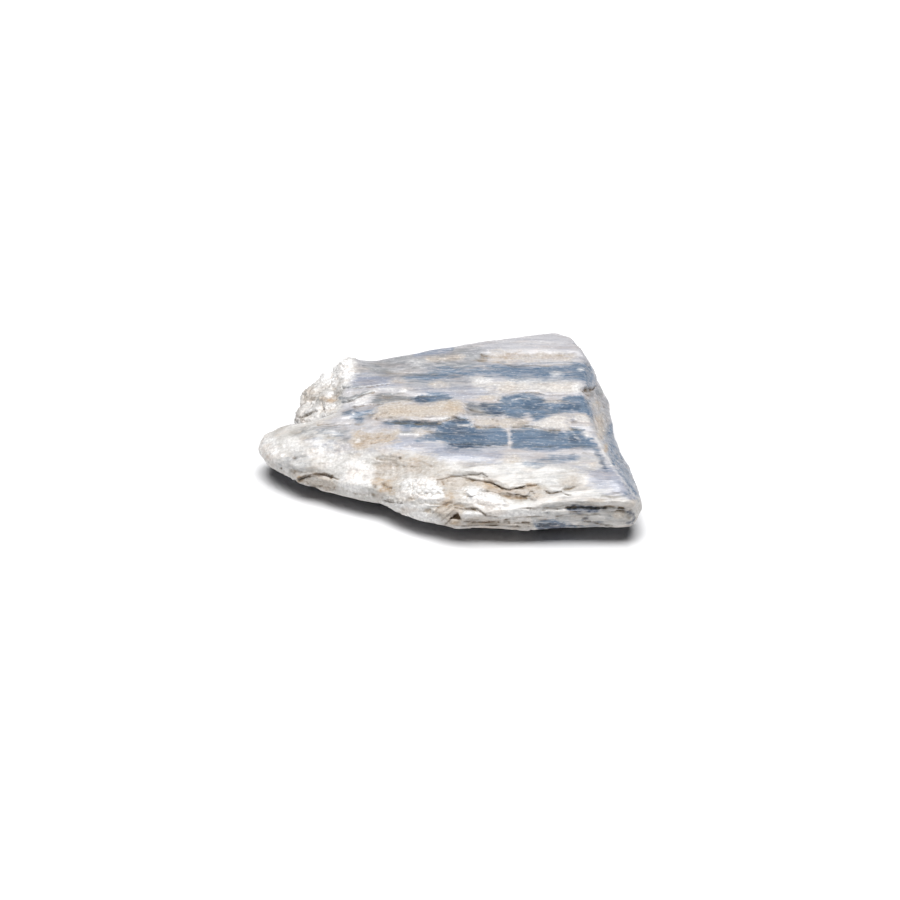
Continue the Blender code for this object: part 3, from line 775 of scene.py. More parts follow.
        Streak("rust's line", ((384, 485), (388, 487), (392, 488)), 0.9, 0.75),
        Streak("under the sand", ((387, 500), (393, 501)), 1.2, 0.6),
        Streak("upper crack", ((438, 483), (438, 480), (444, 479), (450, 476.8), (460, 476.5), (466, 476),
            (472, 474.6), (479, 474.5), (482, 473), (485, 476)), 0.6, 0.6),
        Streak("middle crack", ((466, 478.5), (480, 481), (492, 483), (497, 485), (502, 488),
            (509, 490.3), (516, 488.8), (524, 486.5), (532, 485.5)), 0.7, 0.7),
        Streak("lower crack", ((482, 492), (490, 493.5), (496, 496)), 0.5, 0.4),
        Streak("lower crack's right", ((507, 492.8), (512, 494.5), (518.5, 494.3), (521.5, 495.6)), 0.6,
            0.6),
        Streak("lower crack's hook", ((521.5, 495.6), (525, 496.8), (528, 495), (530.3, 491.3),
            (532, 491.2), (534.4, 493.3)), 0.9, 0.8),
        Spot("dot under the lower crack", (531.5, 499.2), (2.2, 1.2), 0.85, lean=-25),
        Streak("right crack", ((548, 492.6), (549.7, 493.4), (553.8, 493.1), (557.4, 492.1),
            (561, 491.8)), 0.8, 0.85),
        Streak("right crack's foot", ((561, 491.8), (565, 494.2), (569.7, 495.4)), 0.5, 0.55),
        Streak("right crack's branch", ((562, 491), (566, 489.3), (572, 488.5)), 0.5, 0.4),
        Streak("crumbs of the right crack", ((548, 496.8), (552, 497.6), (557, 497.8)), 0.8, 0.4),
        Streak("dash under the leaves", ((530, 509.2), (536, 509.2)), 0.8, 0.7),
        Streak("belly's swirl", ((455, 507.5), (462, 509), (470, 509.5), (477, 509), (481, 512),
            (486, 515)), 1.0, 0.75),
        Streak("swirl's first fibre", ((433, 513), (438, 509), (446, 504)), 0.7, 0.45),
        Streak("swirl's second fibre", ((437, 517), (443, 512), (452, 506.5)), 0.7, 0.5),
        Streak("swirl's third fibre", ((441, 521), (447, 516), (454, 510)), 0.7, 0.5),
        Streak("leaf's fine crack", ((444, 486), (452, 488.5), (458, 494), (461, 499)), 0.5, 0.3),
        Streak("leaf's second fine crack", ((488, 488), (497, 490), (505, 494)), 0.5, 0.35),
        Streak("leaf's third fine crack", ((513, 492.5), (520, 492), (526, 490.5)), 0.5, 0.35),
        Streak("sand's fine crack", ((408, 462), (418, 461), (428, 463)), 0.5, 0.25),
        Streak("sand's second fine crack", ((384, 471), (392, 473), (401, 472)), 0.5, 0.25),
        Spot("pit in the leaf", (452, 484), (1.3, 1.0), 0.5, 0.8),
        Spot("second pit in the leaf", (446, 490), (1.2, 1.0), 0.45, 0.8),
        Spot("third pit in the leaf", (512, 499), (1.4, 1.0), 0.5, 0.8),
        Spot("fourth pit in the leaf", (521, 500), (1.4, 1.2), 0.5, 0.8),
        Spot("swirl's dark", (473, 509), (4.4, 1.6), 0.8),
        Spot("dark over the swirl", (466, 501), (1.6, 2.2), 0.5, lean=20),
        Spot("dark at the scales", (451, 502), (1.4, 1.4), 0.6),
        Field("hole", ((457, 512), (451, 516.5), (449, 519), (461, 520.5), (459, 516)), 0.5, 1.2, 0.6),
        Streak("hole's tail", ((451, 519), (448, 522), (445, 524.5)), 1.0, 0.8),
        Streak("dark strata", ((466, 521), (480, 522), (500, 521)), 0.8, 0.6),
        Streak("lower strata", ((462, 526), (476, 525), (498, 525.5), (520, 527)), 0.8, 0.55),
        Streak("dark line over the strata", ((520, 508.5), (540, 508), (560, 509)), 0.8, 0.5),
        Streak("groove's right end", ((606, 508.2), (616, 508.5), (626, 508.8)), 0.6, 0.4, 0.9),
        Spot("dark under the groove", (573, 512.5), (4, 1.8), 0.6),
        Spot("second dark under the groove", (586, 518), (3, 1.2), 0.6),
        Streak("line under the groove", ((584, 521), (592, 521.5), (601, 524), (612, 526)), 0.8, 0.6),
        Spot("nub", (629, 517), (3, 3), 0.35),
        Spot("fleck in the beige", (493, 419), (1.6, 1.2), 0.6, 0.8),
        Spot("second fleck in the beige", (497, 420.5), (1.4, 1), 0.6, 0.8),
        Streak("brown streak in the beige", ((518, 424), (528, 423)), 1.2, 0.45),
        Streak("dark edge of the middle sheet", ((505, 395), (518, 392), (530, 392.5), (540, 394)), 1.0,
            0.3),
        Streak("dark line on the shelf", ((583, 453), (592, 453.5)), 1.2, 0.4),
        Spot("dark of the blade's foot", (355, 407.5), (3, 1.4), 0.5),
        Spot("dark of the grey", (388, 398), (12, 2.4), 0.35),
    ),
}

CRACKS = (
    Crack("upper", ((437, 480), (444, 479), (450, 476.8), (460, 476.5), (466, 476), (472, 474.6),
        (479, 474.5), (482, 473), (487, 476.5)), 1.1, 0.14, 0.1, 7),
    Crack("middle", ((464, 478), (480, 481), (492, 483), (497, 485), (502, 488), (509, 490.3),
        (516, 488.8), (524, 486.5), (536, 485)), 1.2, 0.18, 0.18, 9),
    Crack("lower left", ((482, 490), (487, 491.4), (493, 492.8), (498, 494.6), (504, 497.2)), 0.9, 0.08,
        0.04, 4),
    Crack("lower right", ((507, 492.8), (512, 494.5), (518.5, 494.3), (525, 496.8), (528, 495),
        (530.3, 491.3), (532, 491.2), (535, 493.6)), 1.0, 0.12, 0.06, 4),
    Crack("right", ((546, 491.2), (549.7, 493.4), (553.8, 493.1), (557.4, 492.1), (561, 491.8),
        (565, 494.2), (570, 495.6)), 1.0, 0.14, 0.1, 6),
    Crack("right branch", ((561, 491.4), (562.6, 489.5), (566.2, 488.9), (571, 489)), 0.9, 0.08, 0.04, 4),
    Crack("line left of the groove", ((546, 512.6), (554, 510.6), (559, 510), (565, 510.2)), 0.9, 0.1,
        0.04, 3),
    Crack("dash under the leaves", ((520, 508.8), (531, 509), (541, 508.6)), 0.9, 0.08, 0.04, 3),
    Crack("groove", ((558, 509), (566, 507.5), (580, 508), (596, 508.4), (606, 508.6)), 1.8, 0.12, 0.0),
    Crack("groove's right end", ((604, 508), (616, 508.4), (626, 508.6)), 1.0, 0.05, 0.0),
    Crack("left of the groove", ((518, 508.5), (530, 508), (548, 510.5), (558, 509)), 1.2, 0.12, 0.06, 5),
    Crack("belly's swirl", ((452, 508), (462, 509), (470, 509.5), (477, 509), (481, 512), (486, 515),
        (497, 516)), 1.1, 0.13, 0.08, 5),
    Crack("swirl's first fibre", ((432, 514), (437, 508), (446, 503), (454, 501)), 0.9, 0.07, 0.05, 3),
    Crack("swirl's second fibre", ((437, 518), (442, 511.5), (450, 506), (457, 504.5)), 0.9, 0.08, 0.05,
        3),
    Crack("swirl's third fibre", ((442, 522), (447, 515.5), (454, 510)), 0.9, 0.08, 0.05, 3),
    Crack("lobe's seam", ((294, 480), (302, 478), (310, 475.5), (322, 474.5), (330, 476), (338, 479)),
        1.3, 0.35, 0.1, 6),
    Crack("lobe's lower seam", ((306, 484), (318, 486.6), (330, 489)), 1.4, 0.14, 0.0),
    Crack("front strata", ((463, 521), (480, 521.8), (500, 521), (530, 522)), 1.2, 0.22, 0.06, 3),
    Crack("lower strata", ((462, 526), (478, 525), (500, 525.5), (530, 527)), 1.2, 0.22, 0.06, 3),
    Crack("line under the groove", ((575, 520.5), (592, 521.5), (601, 524), (614, 526)), 1.2, 0.25, 0.06,
        3),
    Crack("edge of the sandy sheet", ((375, 418.5), (390, 418), (403, 419), (420, 419), (440, 420.5)),
        1.3, 0.06, 0.06, 7),
    Crack("edge of the left shelf", ((340, 388), (360, 388), (372, 386), (390, 383.5)), 1.4, 0.12, 0.12,
        6),
    Crack("edge of the blade", ((343, 403), (352, 400.5), (363, 394.5), (374, 392)), 1.3, 0.15, 0.16, 5),
    Crack("edge before the dark", ((352, 407), (370, 404.5), (384, 404.5), (400, 403)), 1.3, 0.12, 0.1,
        4),
    Crack("back of the main sheet", ((436, 423), (455, 417.5), (468, 419), (476, 426), (500, 427)), 1.3,
        0.08, 0.08, 5),
    Crack("back of the right sheet", ((511, 427.5), (530, 426), (545, 429.5), (566, 430.5)), 1.3, 0.08,
        0.08, 5),
    Crack("back of the middle sheet", ((496, 401), (510, 393), (536, 391.5), (548, 395), (580, 393)), 1.3,
        0.08, 0.08, 5),
    Crack("back of the far band", ((440, 367), (490, 366), (520, 364), (560, 367), (590, 363)), 1.3, 0.05,
        0.04, 6),
    Crack("lens", ((399, 431.5), (408, 432.5), (418, 433)), 1.2, 0.05, 0.0),
    Crack("parting", ((509.2, 422), (509, 430), (509.8, 447), (509, 462)), 1.0, 0.07, 0.0),
    Crack("under the scales", ((384, 500), (394, 502), (402, 503)), 1.5, 0.25, 0.1, 5),
    Crack("break's line", ((300, 419), (308, 414.5), (316, 411)), 1.6, 0.4, 0.0),
    Crack("behind the lobe", ((318, 424), (335, 424), (350, 424)), 2.0, 0.15, 0.0),
)

PLATES = (
    Plate("leaf between the upper cracks", ((440, 481), (452, 478), (466, 478.5), (484, 482.5),
        (497, 486.5), (505, 490.5), (498, 492.5), (484, 490), (466, 486), (450, 488), (441, 486)), -0.16,
        2.0),
    Plate("leaf under the middle crack", ((505, 491.5), (516, 490), (526, 487.5), (545, 486.5),
        (548, 490), (534, 491.5), (529, 495.5), (510, 493.5)), -0.08, 2.0),
    Plate("quartz lump", ((466, 489), (472, 487), (484, 491.5), (497, 495.5), (507, 500), (508, 505),
        (500, 508), (486, 507.5), (473, 503), (466, 496)), 0.24, 4.0),
    Plate("scaly patch", ((399, 482), (408, 478), (424, 478), (436, 480), (441, 487), (447, 493),
        (447, 500), (436, 502), (420, 501.5), (406, 499), (399, 493)), 0.16, 3.0),
    Plate("under the lobe's seam", ((297, 480), (308, 477), (320, 475.5), (331, 477), (338, 482),
        (334, 492), (312, 489)), -0.18, 1.4, 0.3),
    Plate("sandy sheet", SANDY_SHEET, 0.1, 1.6),
    Plate("scab on the middle sheet", MIDDLE_SCAB, 0.06, 2.5),
    Plate("right scab", RIGHT_SCAB, 0.05, 2.0),
    Plate("beige before the middle sheet", MIDDLE_BEIGE, 0.04, 2.5),
    Plate("ochre hollow", ((352, 432), (385, 433), (398, 430), (401, 440), (388, 443.5), (374, 446),
        (362, 450), (353, 449), (350, 440)), -0.06, 2.0),
    Plate("front sand", FRONT_SAND, -0.04, 5.0),
    Plate("hole", ((458, 511), (451, 516.5), (448.5, 519.5), (462.5, 521), (460, 516)), -0.42, 1.8, 0.5),
    Plate("swirl's flake", ((462, 508), (474, 510), (484, 515), (480, 519.5), (464, 518), (461, 512)),
        0.14, 2.0),
    Plate("groove", ((560, 508.5), (568, 505), (588, 505), (602, 507), (608, 508.4), (602, 510),
        (592, 511.4), (576, 511.6), (564, 510.4)), -0.18, 2.6, 0.4),
    Plate("filled right end of the groove", ((607, 506.5), (614, 505.5), (630, 506.5), (632, 510.5),
        (614, 511.5), (607, 510.5)), 0.34, 2.5, 0.4),
    Plate("filled crack at the quartz lump", ((464, 491.5), (474, 490), (488, 491.5), (502, 495.5),
        (502, 500), (488, 500), (474, 499), (466, 496.5)), 0.2, 4.5, 0.4),
    Plate("filled edge of the sandy sheet", ((376, 417.8), (400, 417.5), (440, 418), (443, 422),
        (420, 422.5), (380, 421.5)), 0.13, 1.8, 0.4),
    Plate("filled end of the lower crack", ((526, 497), (531, 495.5), (538, 495.5), (538, 501),
        (526, 501)), 0.22, 2.0, 0.4),
    Plate("filled line of the lower layer", ((498, 514), (512, 512.5), (556, 512.5), (556, 519.5),
        (530, 520.5), (498, 520.5)), 0.2, 2.5, 0.4),
    Plate("bottom layer", ((470, 521.5), (530, 522), (600, 525), (625, 526), (600, 531), (470, 531)),
        -0.14, 1.2),
    Plate("notch", ((582, 390), (586, 387), (592, 387.5), (597, 385), (595, 391), (588, 393.5),
        (584, 393)), -0.28, 1.8, 0.3),
)

LUMPS = (
    Lump("break's top lump", (342, 365), 1.3, 0.45),
    Lump("break's left lump", (327, 376), 1.0, 0.4),
    Lump("break's middle lump", (341, 378), 1.0, 0.35),
    Lump("break's low lump", (330, 394), 0.9, 0.35),
    Lump("break's knob", (306, 393), 1.4, 0.35),
    Lump("break's dot", (308, 403), 0.6, 0.3),
    Lump("break's second dot", (314, 403), 0.6, 0.3),
    Lump("break's foot knob", (299, 418), 1.1, 0.3),
    Lump("break's hollow", (318, 390), 1.2, -0.4),
    Lump("break's second hollow", (334, 387), 1.1, -0.3),
    Lump("quartz lump", (480, 497), 2.6, 0.2),
    Lump("filled pit in the quartz lump", (471, 497), 1.2, 0.3),
    Lump("quartz lump's right", (495, 502), 2.2, 0.25),
    Lump("belly's lump", (470, 514), 1.2, 0.28, 0.6),
    Lump("nub", (629, 517), 0.8, 0.3),
    Lump("scales' bulge", (426, 489), 3.0, 0.25),
    Lump("rust pit", (383, 486), 1.0, -0.15),
    Lump("sand's hollow", (404, 466), 3.0, -0.12),
    Lump("pit in the sand", (400, 458), 0.35, -0.2),
    Lump("pit in the lobe", (294, 458), 0.45, -0.15),
    Lump("second pit in the lobe", (281, 468.5), 0.4, -0.15),
    Lump("lobe's scab", (281, 455), 0.7, 0.12),
    Lump("ring in the main sheet", (488, 445), 0.8, -0.12),
    Lump("corner", (638, 503), 1.2, 0.15),
    Lump("fold under the left front", (352, 484), 2.2, 0.15),
)


@dataclass
class PhotoCamera:
    """The photograph's camera, about 30 cm from the stone and 32 degrees above the table."""

    elevation: float = 32.0
    distance: float = 300.0
    mm_per_pixel: float = 0.145
    aim: Size = (0.6, -4.8, 5.0)
    sensor: float = 36.0
    clip_start: float = 0.01
    clip_end: float = 10.0

    def back(self) -> np.ndarray:
        """Gives the direction from the aim to the eye."""
        angle = math.radians(self.elevation)
        return np.array([0.0, -math.cos(angle), math.sin(angle)])

    def eye(self) -> np.ndarray:
        """Gives the eye's place in millimetres."""
        return np.array(self.aim) + self.back() * self.distance

    def focal_pixels(self) -> float:
        """Gives the lens's focal length in pixels of the photograph."""
        return self.distance / self.mm_per_pixel

    def pixels_of(self, points: np.ndarray) -> np.ndarray:
        """Projects points into the photograph.

        Args:
            points: places in millimetres.

        Returns:
            The pixel where each point shows.
        """
        up = np.cross((1.0, 0.0, 0.0), -self.back())
        gap = points - self.eye()
        depth = -(gap @ self.back())
        x = PHOTO_SIDE / 2 + self.focal_pixels() * gap[:, 0] / depth
        y = PHOTO_SIDE / 2 - self.focal_pixels() * (gap @ up) / depth
        return np.stack([x, y], axis=-1)

    def place_of(self, pixel: Pixel, tree: BVHTree) -> np.ndarray:
        """Gives the point in millimetres where a pixel's ray first meets the stone.

        Args:
            pixel: a place in the photograph.
            tree: the stone's faces, in millimetres.

        Returns:
            The point, or one far below the floor where the ray misses the stone.
        """
        up = np.cross((1.0, 0.0, 0.0), -self.back())
        half = PHOTO_SIDE / 2
        across = np.array([pixel[0] - half, 0.0, 0.0]) + up * (half - pixel[1])
        ray = Vector(across - self.back() * self.focal_pixels()).normalized()
        hit = tree.ray_cast(Vector(self.eye()), ray)[0]
        return np.array(hit) if hit else np.array(FAR_BELOW)

    def depth_behind(self, points: np.ndarray, tree: BVHTree) -> np.ndarray:
        """Measures how far each point lies behind the surface that hides it.

        Args:
            points: places on the stone in millimetres.
            tree: the stone's faces, in millimetres.

        Returns:
            One distance for each point, 0 where it shows.
        """
        eye = Vector(self.eye())
        hidden = np.zeros(len(points))
        for index, point in enumerate(points.tolist()):
            ray = Vector(point) - eye
            length = ray.length
            hit = tree.ray_cast(eye, ray / length)[3]
            if hit is not None:
                hidden[index] = max(0.0, length - hit)
        return hidden

    def build(self) -> None:
        """Adds the camera and makes it the scene's."""
        bpy.ops.object.camera_add(location=Vector(self.eye()) * MM)
        camera = bpy.context.object
        camera.name = "photo_camera"
        camera.rotation_euler = (math.radians(90.0 - self.elevation), 0.0, 0.0)
        camera.data.sensor_width = self.sensor
        camera.data.lens = self.sensor * self.focal_pixels() / PHOTO_SIDE
        camera.data.clip_start = self.clip_start
        camera.data.clip_end = self.clip_end
        bpy.context.scene.camera = camera


@dataclass
class StoneReading:
    """What the photograph says of each point of the stone: where it shows, and how surely.

    Edges wander by noises, each a height in pixels, a size in millimetres and a shift: drawn out
    along the blades on the flat top, and lumpy elsewhere.
    """

    HIDDEN_FROM: ClassVar[float] = 0.6
    HIDDEN_FULL: ClassVar[float] = 3.0
    TOP_FROM: ClassVar[float] = 0.75
    TOP_FULL: ClassVar[float] = 0.95
    MARGIN: ClassVar[float] = 8.0
    DRAWN: ClassVar[Waves] = ((2.4, (4.5, 0.9, 0.9), 0.0), (1.7, (1.5, 0.35, 0.35), 5.0))
    LUMPY: ClassVar[Waves] = ((2.0, (1.8, 1.1, 1.1), 7.0), (1.6, (0.6, 0.45, 0.45), 9.0))
    FINE: ClassVar[Waves] = ((1.0, (0.4, 0.2, 0.2), 3.0),)

    pixels: np.ndarray
    known: np.ndarray
    wander: np.ndarray

    @classmethod
    def of(cls, points: np.ndarray, normals: np.ndarray, camera: PhotoCamera,
           tree: BVHTree) -> "StoneReading":
        """Reads every point.

        Args:
            points: places on the stone in millimetres.
            normals: the surface's directions there.
            camera: the photograph's camera.
            tree: the stone's faces, in millimetres.

        Returns:
            The reading, with edges that wander along the blades.
        """
        known = 1.0 - ramp(camera.depth_behind(points, tree), cls.HIDDEN_FROM, cls.HIDDEN_FULL)
        flat = ramp(normals[:, 2], cls.TOP_FROM, cls.TOP_FULL)
        drawn, lumpy, fine = (
            sum(height * noise_at(points, size, shift) for height, size, shift in waves)
            for waves in (cls.DRAWN, cls.LUMPY, cls.FINE)
        )
        wander = flat * drawn + (1.0 - flat) * lumpy + fine
        return cls(camera.pixels_of(points), known, wander)

    def cover(self, marks: tuple[Mark, ...]) -> np.ndarray:
        """Gives how much of one mineral each point has by its marks.

        Args:
            marks: the mineral's fields, spots and streaks.

        Returns:
            One share for each point, from 0 to 1.
        """
        cover = np.zeros(len(self.pixels))
        for mark in marks:
            corners = mark.corners()
            low, high = corners.min(axis=0) - self.MARGIN, corners.max(axis=0) + self.MARGIN
            near = np.flatnonzero(np.all((self.pixels > low) & (self.pixels < high), axis=1))
            inside = mark.inside(self.pixels[near]) + mark.ragged * self.wander[near]
            share = np.clip(0.5 + inside / (2.0 * mark.soft), 0.0, 1.0)
            cover[near] = np.maximum(cover[near], mark.strength * share)
        return cover


@dataclass
class StoneRelief:
    """The fine relief of the stone.

    Sizes are in millimetres, and the edge of a layer or blade is a share of its width. The patch
    of mica scales has its middle and half size in pixels.
    """

    layer: float = 0.5
    layer_reach: float = 0.14
    layer_edge: float = 0.3
    blade: float = 1.1
    blade_step: float = 0.07
    blade_edge: float = 0.16
    flake: float = 0.75
    flake_lift: float = 0.13
    grain: float = 0.45
    grain_height: float = 0.06
    block: float = 1.1
    block_height: float = 0.16
    fine_block: Size = (0.5, 0.5, 0.4)
    fine_block_height: float = 0.07
    fibre_height: float = 0.09
    swell: float = 0.05
    sand_rise: float = 0.05
    white_rise: float = 0.06
    blue_sink: float = 0.07
    white_roughness: float = 0.3
    lobe_roughness: float = 0.25
    side_roughness: float = 0.25
    blue_smoothness: float = 0.7
    lobe_wear: float = 0.6
    blade_wear: float = 0.6
    fibre_wear: float = 0.7
    fibre_floor: float = 0.3
    grain_floor: float = 0.25
    grain_gain: float = 0.9
    flat_from: float = 0.72
    flat_full: float = 0.92
    scales_middle: Pixel = (423, 491)
    scales_half: Pixel = (24, 13)
    scales_reach: float = 1.4
    break_right: float = -12.5
    break_left: float = -15.5
    break_front: float = 0.5
    break_back: float = 3.0
    lobe_right: float = -11.0
    lobe_left: float = -15.0

    def layers(self, points: np.ndarray) -> np.ndarray:
        """Gives how far each thin layer stands out of the sides.

        Args:
            points: places on the stone.

        Returns:
            One distance for each place.
        """
        level = (points[:, 2] + 0.5 * noise_at(points, (7.0, 7.0, 20.0), 3.0)) / self.layer
        level = level + 0.35 * noise_at(points, (1.2, 1.2, 0.6), 8.0)
        return self.layer_reach * stairs(points, level, 2, 3.7, self.layer_edge, (3.4, 3.4, 1.0))

    def blades(self, points: np.ndarray) -> np.ndarray:
        """Gives the low steps between the blades of the flat faces, which run along X.

        Args:
            points: places on the stone.

        Returns:
            One distance for each place.
        """
        across = points[:, 1] + 0.35 * noise_at(points, (11.0, 3.0, 6.0), 2.0)
        level = (across + 0.8 * noise_at(points * (0.0, 1.0, 0.0), (1.0, 2.3, 1.0), 6.0)) / self.blade
        return self.blade_step * stairs(points, level, 1, 5.3, self.blade_edge, (9.0, 1.0, 9.0), 4.0)

    def flakes(self, points: np.ndarray) -> np.ndarray:
        """Gives the lifted plates of mica, with a gap around each."""
        joint, level = cells_at(points, (self.flake, self.flake, self.flake * 0.6))
        return self.flake_lift * (level + ramp(joint / 0.22) - 1.0)

    def in_break(self, points: np.ndarray) -> np.ndarray:
        """Gives 1 in the rough break on the left and 0 away from it."""
        left = ramp(points[:, 0], self.break_right, self.break_left)
        return left * ramp(points[:, 1], self.break_front, self.break_back)

    def scaly(self, reading: StoneReading) -> np.ndarray:
        """Gives 1 in the patch of mica scales and 0 away from it."""
        gap = (reading.pixels - self.scales_middle) / self.scales_half
        return ramp(self.scales_reach - np.hypot(*gap.T)) * reading.known

    def blocks(self, points: np.ndarray) -> np.ndarray:
        """Gives the blocky grains of the rough break on the left.

        Args:
            points: places on the stone.

        Returns:
            One distance for each place.
        """
        joint, level = cells_at(points, (self.block, self.block, self.block * 0.8), 4.0)
        fine, fine_level = cells_at(points, self.fine_block, 9.0)
        rough = self.block_height * (level - 0.5 + 0.7 * ramp(joint / 0.35) - 0.5)
        return rough + self.fine_block_height * (fine_level + ramp(fine / 0.3) - 1.0)

    def grains(self, points: np.ndarray) -> np.ndarray:
        """Gives the rough, pitted skin of the weathered places.

        Args:
            points: places on the stone.

        Returns:
            One distance for each place.
        """
        coarse = noise_at(points, (self.grain, self.grain, self.grain))
        fine = noise_at(points, (self.grain * 0.4,) * 3, 7.0)
        return self.grain_height * (coarse + 0.6 * fine)

    def fibres(self, points: np.ndarray) -> np.ndarray:
        """Gives the ends and edges of the fine blades, drawn out along X.

        Args:
            points: places on the stone.

        Returns:
            One distance for each place.
        """
        coarse = 1.0 - 2.0 * np.abs(noise_at(points, (3.6, 0.6, 0.5), 1.0))
        fine = 1.0 - 2.0 * np.abs(noise_at(points, (1.8, 0.3, 0.25), 2.0))
        return self.fibre_height * (0.7 * coarse + 0.5 * fine)

    def skin(self, points: np.ndarray, normals: np.ndarray, reading: StoneReading) -> np.ndarray:
        """Gives the relief of the skin, by how flat each place is and by its minerals.

        Args:
            points: places on the smooth stone.
            normals: the surface's directions there.
            reading: what the photograph says of them.

        Returns:
            One distance for each point.
        """
        sand, white, blue = (
            reading.cover(MARKS[mineral]) * reading.known
            for mineral in (Mineral.SAND, Mineral.WHITE, Mineral.BLUE)
        )
        flat = ramp(np.abs(normals[:, 2]), self.flat_from, self.flat_full)
        sides = 1.0 - flat
        in_break = self.in_break(points)
        lobe = ramp(points[:, 0], self.lobe_right, self.lobe_left) * (1.0 - in_break)
        rough = sand + self.white_roughness * white + self.lobe_roughness * lobe
        rough = np.clip(rough + self.side_roughness * sides, 0.0, 1.0)
        rough = rough * (1.0 - self.blue_smoothness * blue)
        threads = self.fibre_floor + (1.0 - self.fibre_floor) * sides
        return sum((
            sides * (1.0 - self.lobe_wear * lobe) * self.layers(points),
            flat * (1.0 - self.blade_wear * rough) * self.blades(points),
            (self.grain_floor + self.grain_gain * rough) * self.grains(points),
            threads * (1.0 - self.fibre_wear * lobe) * self.fibres(points),
            self.scaly(reading) * self.flakes(points) + in_break * self.blocks(points),
            flat * (self.sand_rise * sand + self.white_rise * white - self.blue_sink * blue),
            self.swell * noise_at(points, (1.6, 1.1, 1.1), 11.0),
        ))

    def push(self, points: np.ndarray, normals: np.ndarray, reading: StoneReading, tree: BVHTree,
             camera: PhotoCamera) -> np.ndarray:
        """Gives how far each point moves out along its normal.

        Args:
            points: places on the smooth stone.
            normals: the surface's directions there.
            reading: what the photograph says of them.
            tree: the smooth stone's faces.
            camera: the photograph's camera.

        Returns:
            One distance for each point.
        """
        push = self.skin(points, normals, reading)
        for item in (*CRACKS, *PLATES):
            push = push + reading.known * item.push(reading.pixels, reading.wander)
        for lump in LUMPS:
            push = push + lump.push(points, camera.place_of(lump.at, tree))
        return push


@dataclass(frozen=True)
class HiddenBand:
    """How one mineral lies on the sides that the photograph doesn't show.

    A noise of this size, moved by the shift, has the mineral where it's above the edge's level.
    """

    size: Size
    shift: float
    edge: float
    strength: float


HIDDEN_BANDS: dict[Mineral, HiddenBand] = {
    Mineral.CREAM: HiddenBand((9.0, 5.0, 2.0), 88.0, 0.0, 0.8),
    Mineral.GREY: HiddenBand((12.0, 2.4, 1.2), 2.0, 0.1, 0.7),
    Mineral.LAVENDER: HiddenBand((14.0, 3.0, 1.6), 12.0, 0.05, 0.8),
    Mineral.BLUE: HiddenBand((16.0, 3.0, 1.5), 21.0, -0.12, 0.95),
    Mineral.NAVY: HiddenBand((8.0, 1.8, 1.0), 33.0, 0.12, 0.8),
    Mineral.DEEP: HiddenBand((7.0, 1.6, 0.8), 95.0, 0.34, 0.5),
    Mineral.SAND: HiddenBand((7.0, 2.6, 1.4), 41.0, 0.16, 0.9),
    Mineral.WHITE: HiddenBand((6.0, 2.4, 1.5), 55.0, 0.2, 0.9),
    Mineral.RUST: HiddenBand((3.0, 1.6, 1.2), 63.0, 0.36, 0.7),
    Mineral.DARK: HiddenBand((3.4, 0.8, 0.5), 77.0, 0.42, 0.7),
}


@dataclass(frozen=True)
class Pattern:
    """A noise inside the stone, by how long its swings are along each axis in millimetres."""

    size: Size
    detail: float = 3.0


STREAK = Pattern((9.0, 1.1, 1.1))
STRIATION = Pattern((5.0, 0.22, 0.22), 2.0)
GRAIN = Pattern((0.35, 0.35, 0.35), 4.0)
CLOUD = Pattern((2.6, 1.4, 1.4))
LONG_EDGE = Pattern((2.0, 0.36, 0.36), 5.0)
ROUND_EDGE = Pattern((1.1, 0.5, 0.5), 5.0)
FLECK = Pattern((0.9, 0.24, 0.24))
SCRATCH = Pattern((4.0, 0.13, 0.13), 2.0)
STAIN = Pattern((4.0, 1.3, 1.3), 4.0)
PATTERNS = (STREAK, STRIATION, GRAIN, CLOUD, LONG_EDGE, ROUND_EDGE, FLECK, SCRATCH, STAIN)

Noises = dict[Pattern, Socket]
Covers = dict[Mineral, Socket]
Layer = tuple[Socket, object, str]


@dataclass(frozen=True)
class Tones:
    """A mineral's two colours, the pattern that runs between them, and how ragged its edge is."""

    low: str
    high: str
    between: Pattern
    edge: Pattern
    ragged: float = 1.3


TONES: dict[Mineral, Tones] = {
    Mineral.CREAM: Tones("#B7B4AF", "#D6D3CF", CLOUD, ROUND_EDGE, 1.2),
    Mineral.GREY: Tones("#7F8389", "#97999B", CLOUD, LONG_EDGE),
    Mineral.LAVENDER: Tones("#8F95A6", "#A9ADBB", STREAK, LONG_EDGE),
    Mineral.BLUE: Tones("#536B86", "#72859A", STRIATION, LONG_EDGE),
    Mineral.NAVY: Tones("#425A74", "#526981", STRIATION, LONG_EDGE),
    Mineral.DEEP: Tones("#303B4D", "#46546A", STRIATION, LONG_EDGE, 1.2),
    Mineral.SAND: Tones("#B8ADA1", "#CAC2B8", GRAIN, ROUND_EDGE, 1.2),
    Mineral.WHITE: Tones("#DAD8D7", "#F6F5F3", GRAIN, ROUND_EDGE, 1.1),
    Mineral.RUST: Tones("#A08869", "#BBA283", CLOUD, ROUND_EDGE, 1.2),
    Mineral.DARK: Tones("#4B3F31", "#6F604D", GRAIN, GRAIN),
}


@dataclass(frozen=True)
class Veil:
    """A colour over the stone where a pattern passes a level, on one mineral alone if it is named.

    It starts where the pattern has the first level and is full at the second.
    """

    name: str
    pattern: Pattern
    start: float
    full: float
    strength: float
    colour: str
    blend: str = "MIX"
    only_on: Mineral | None = None


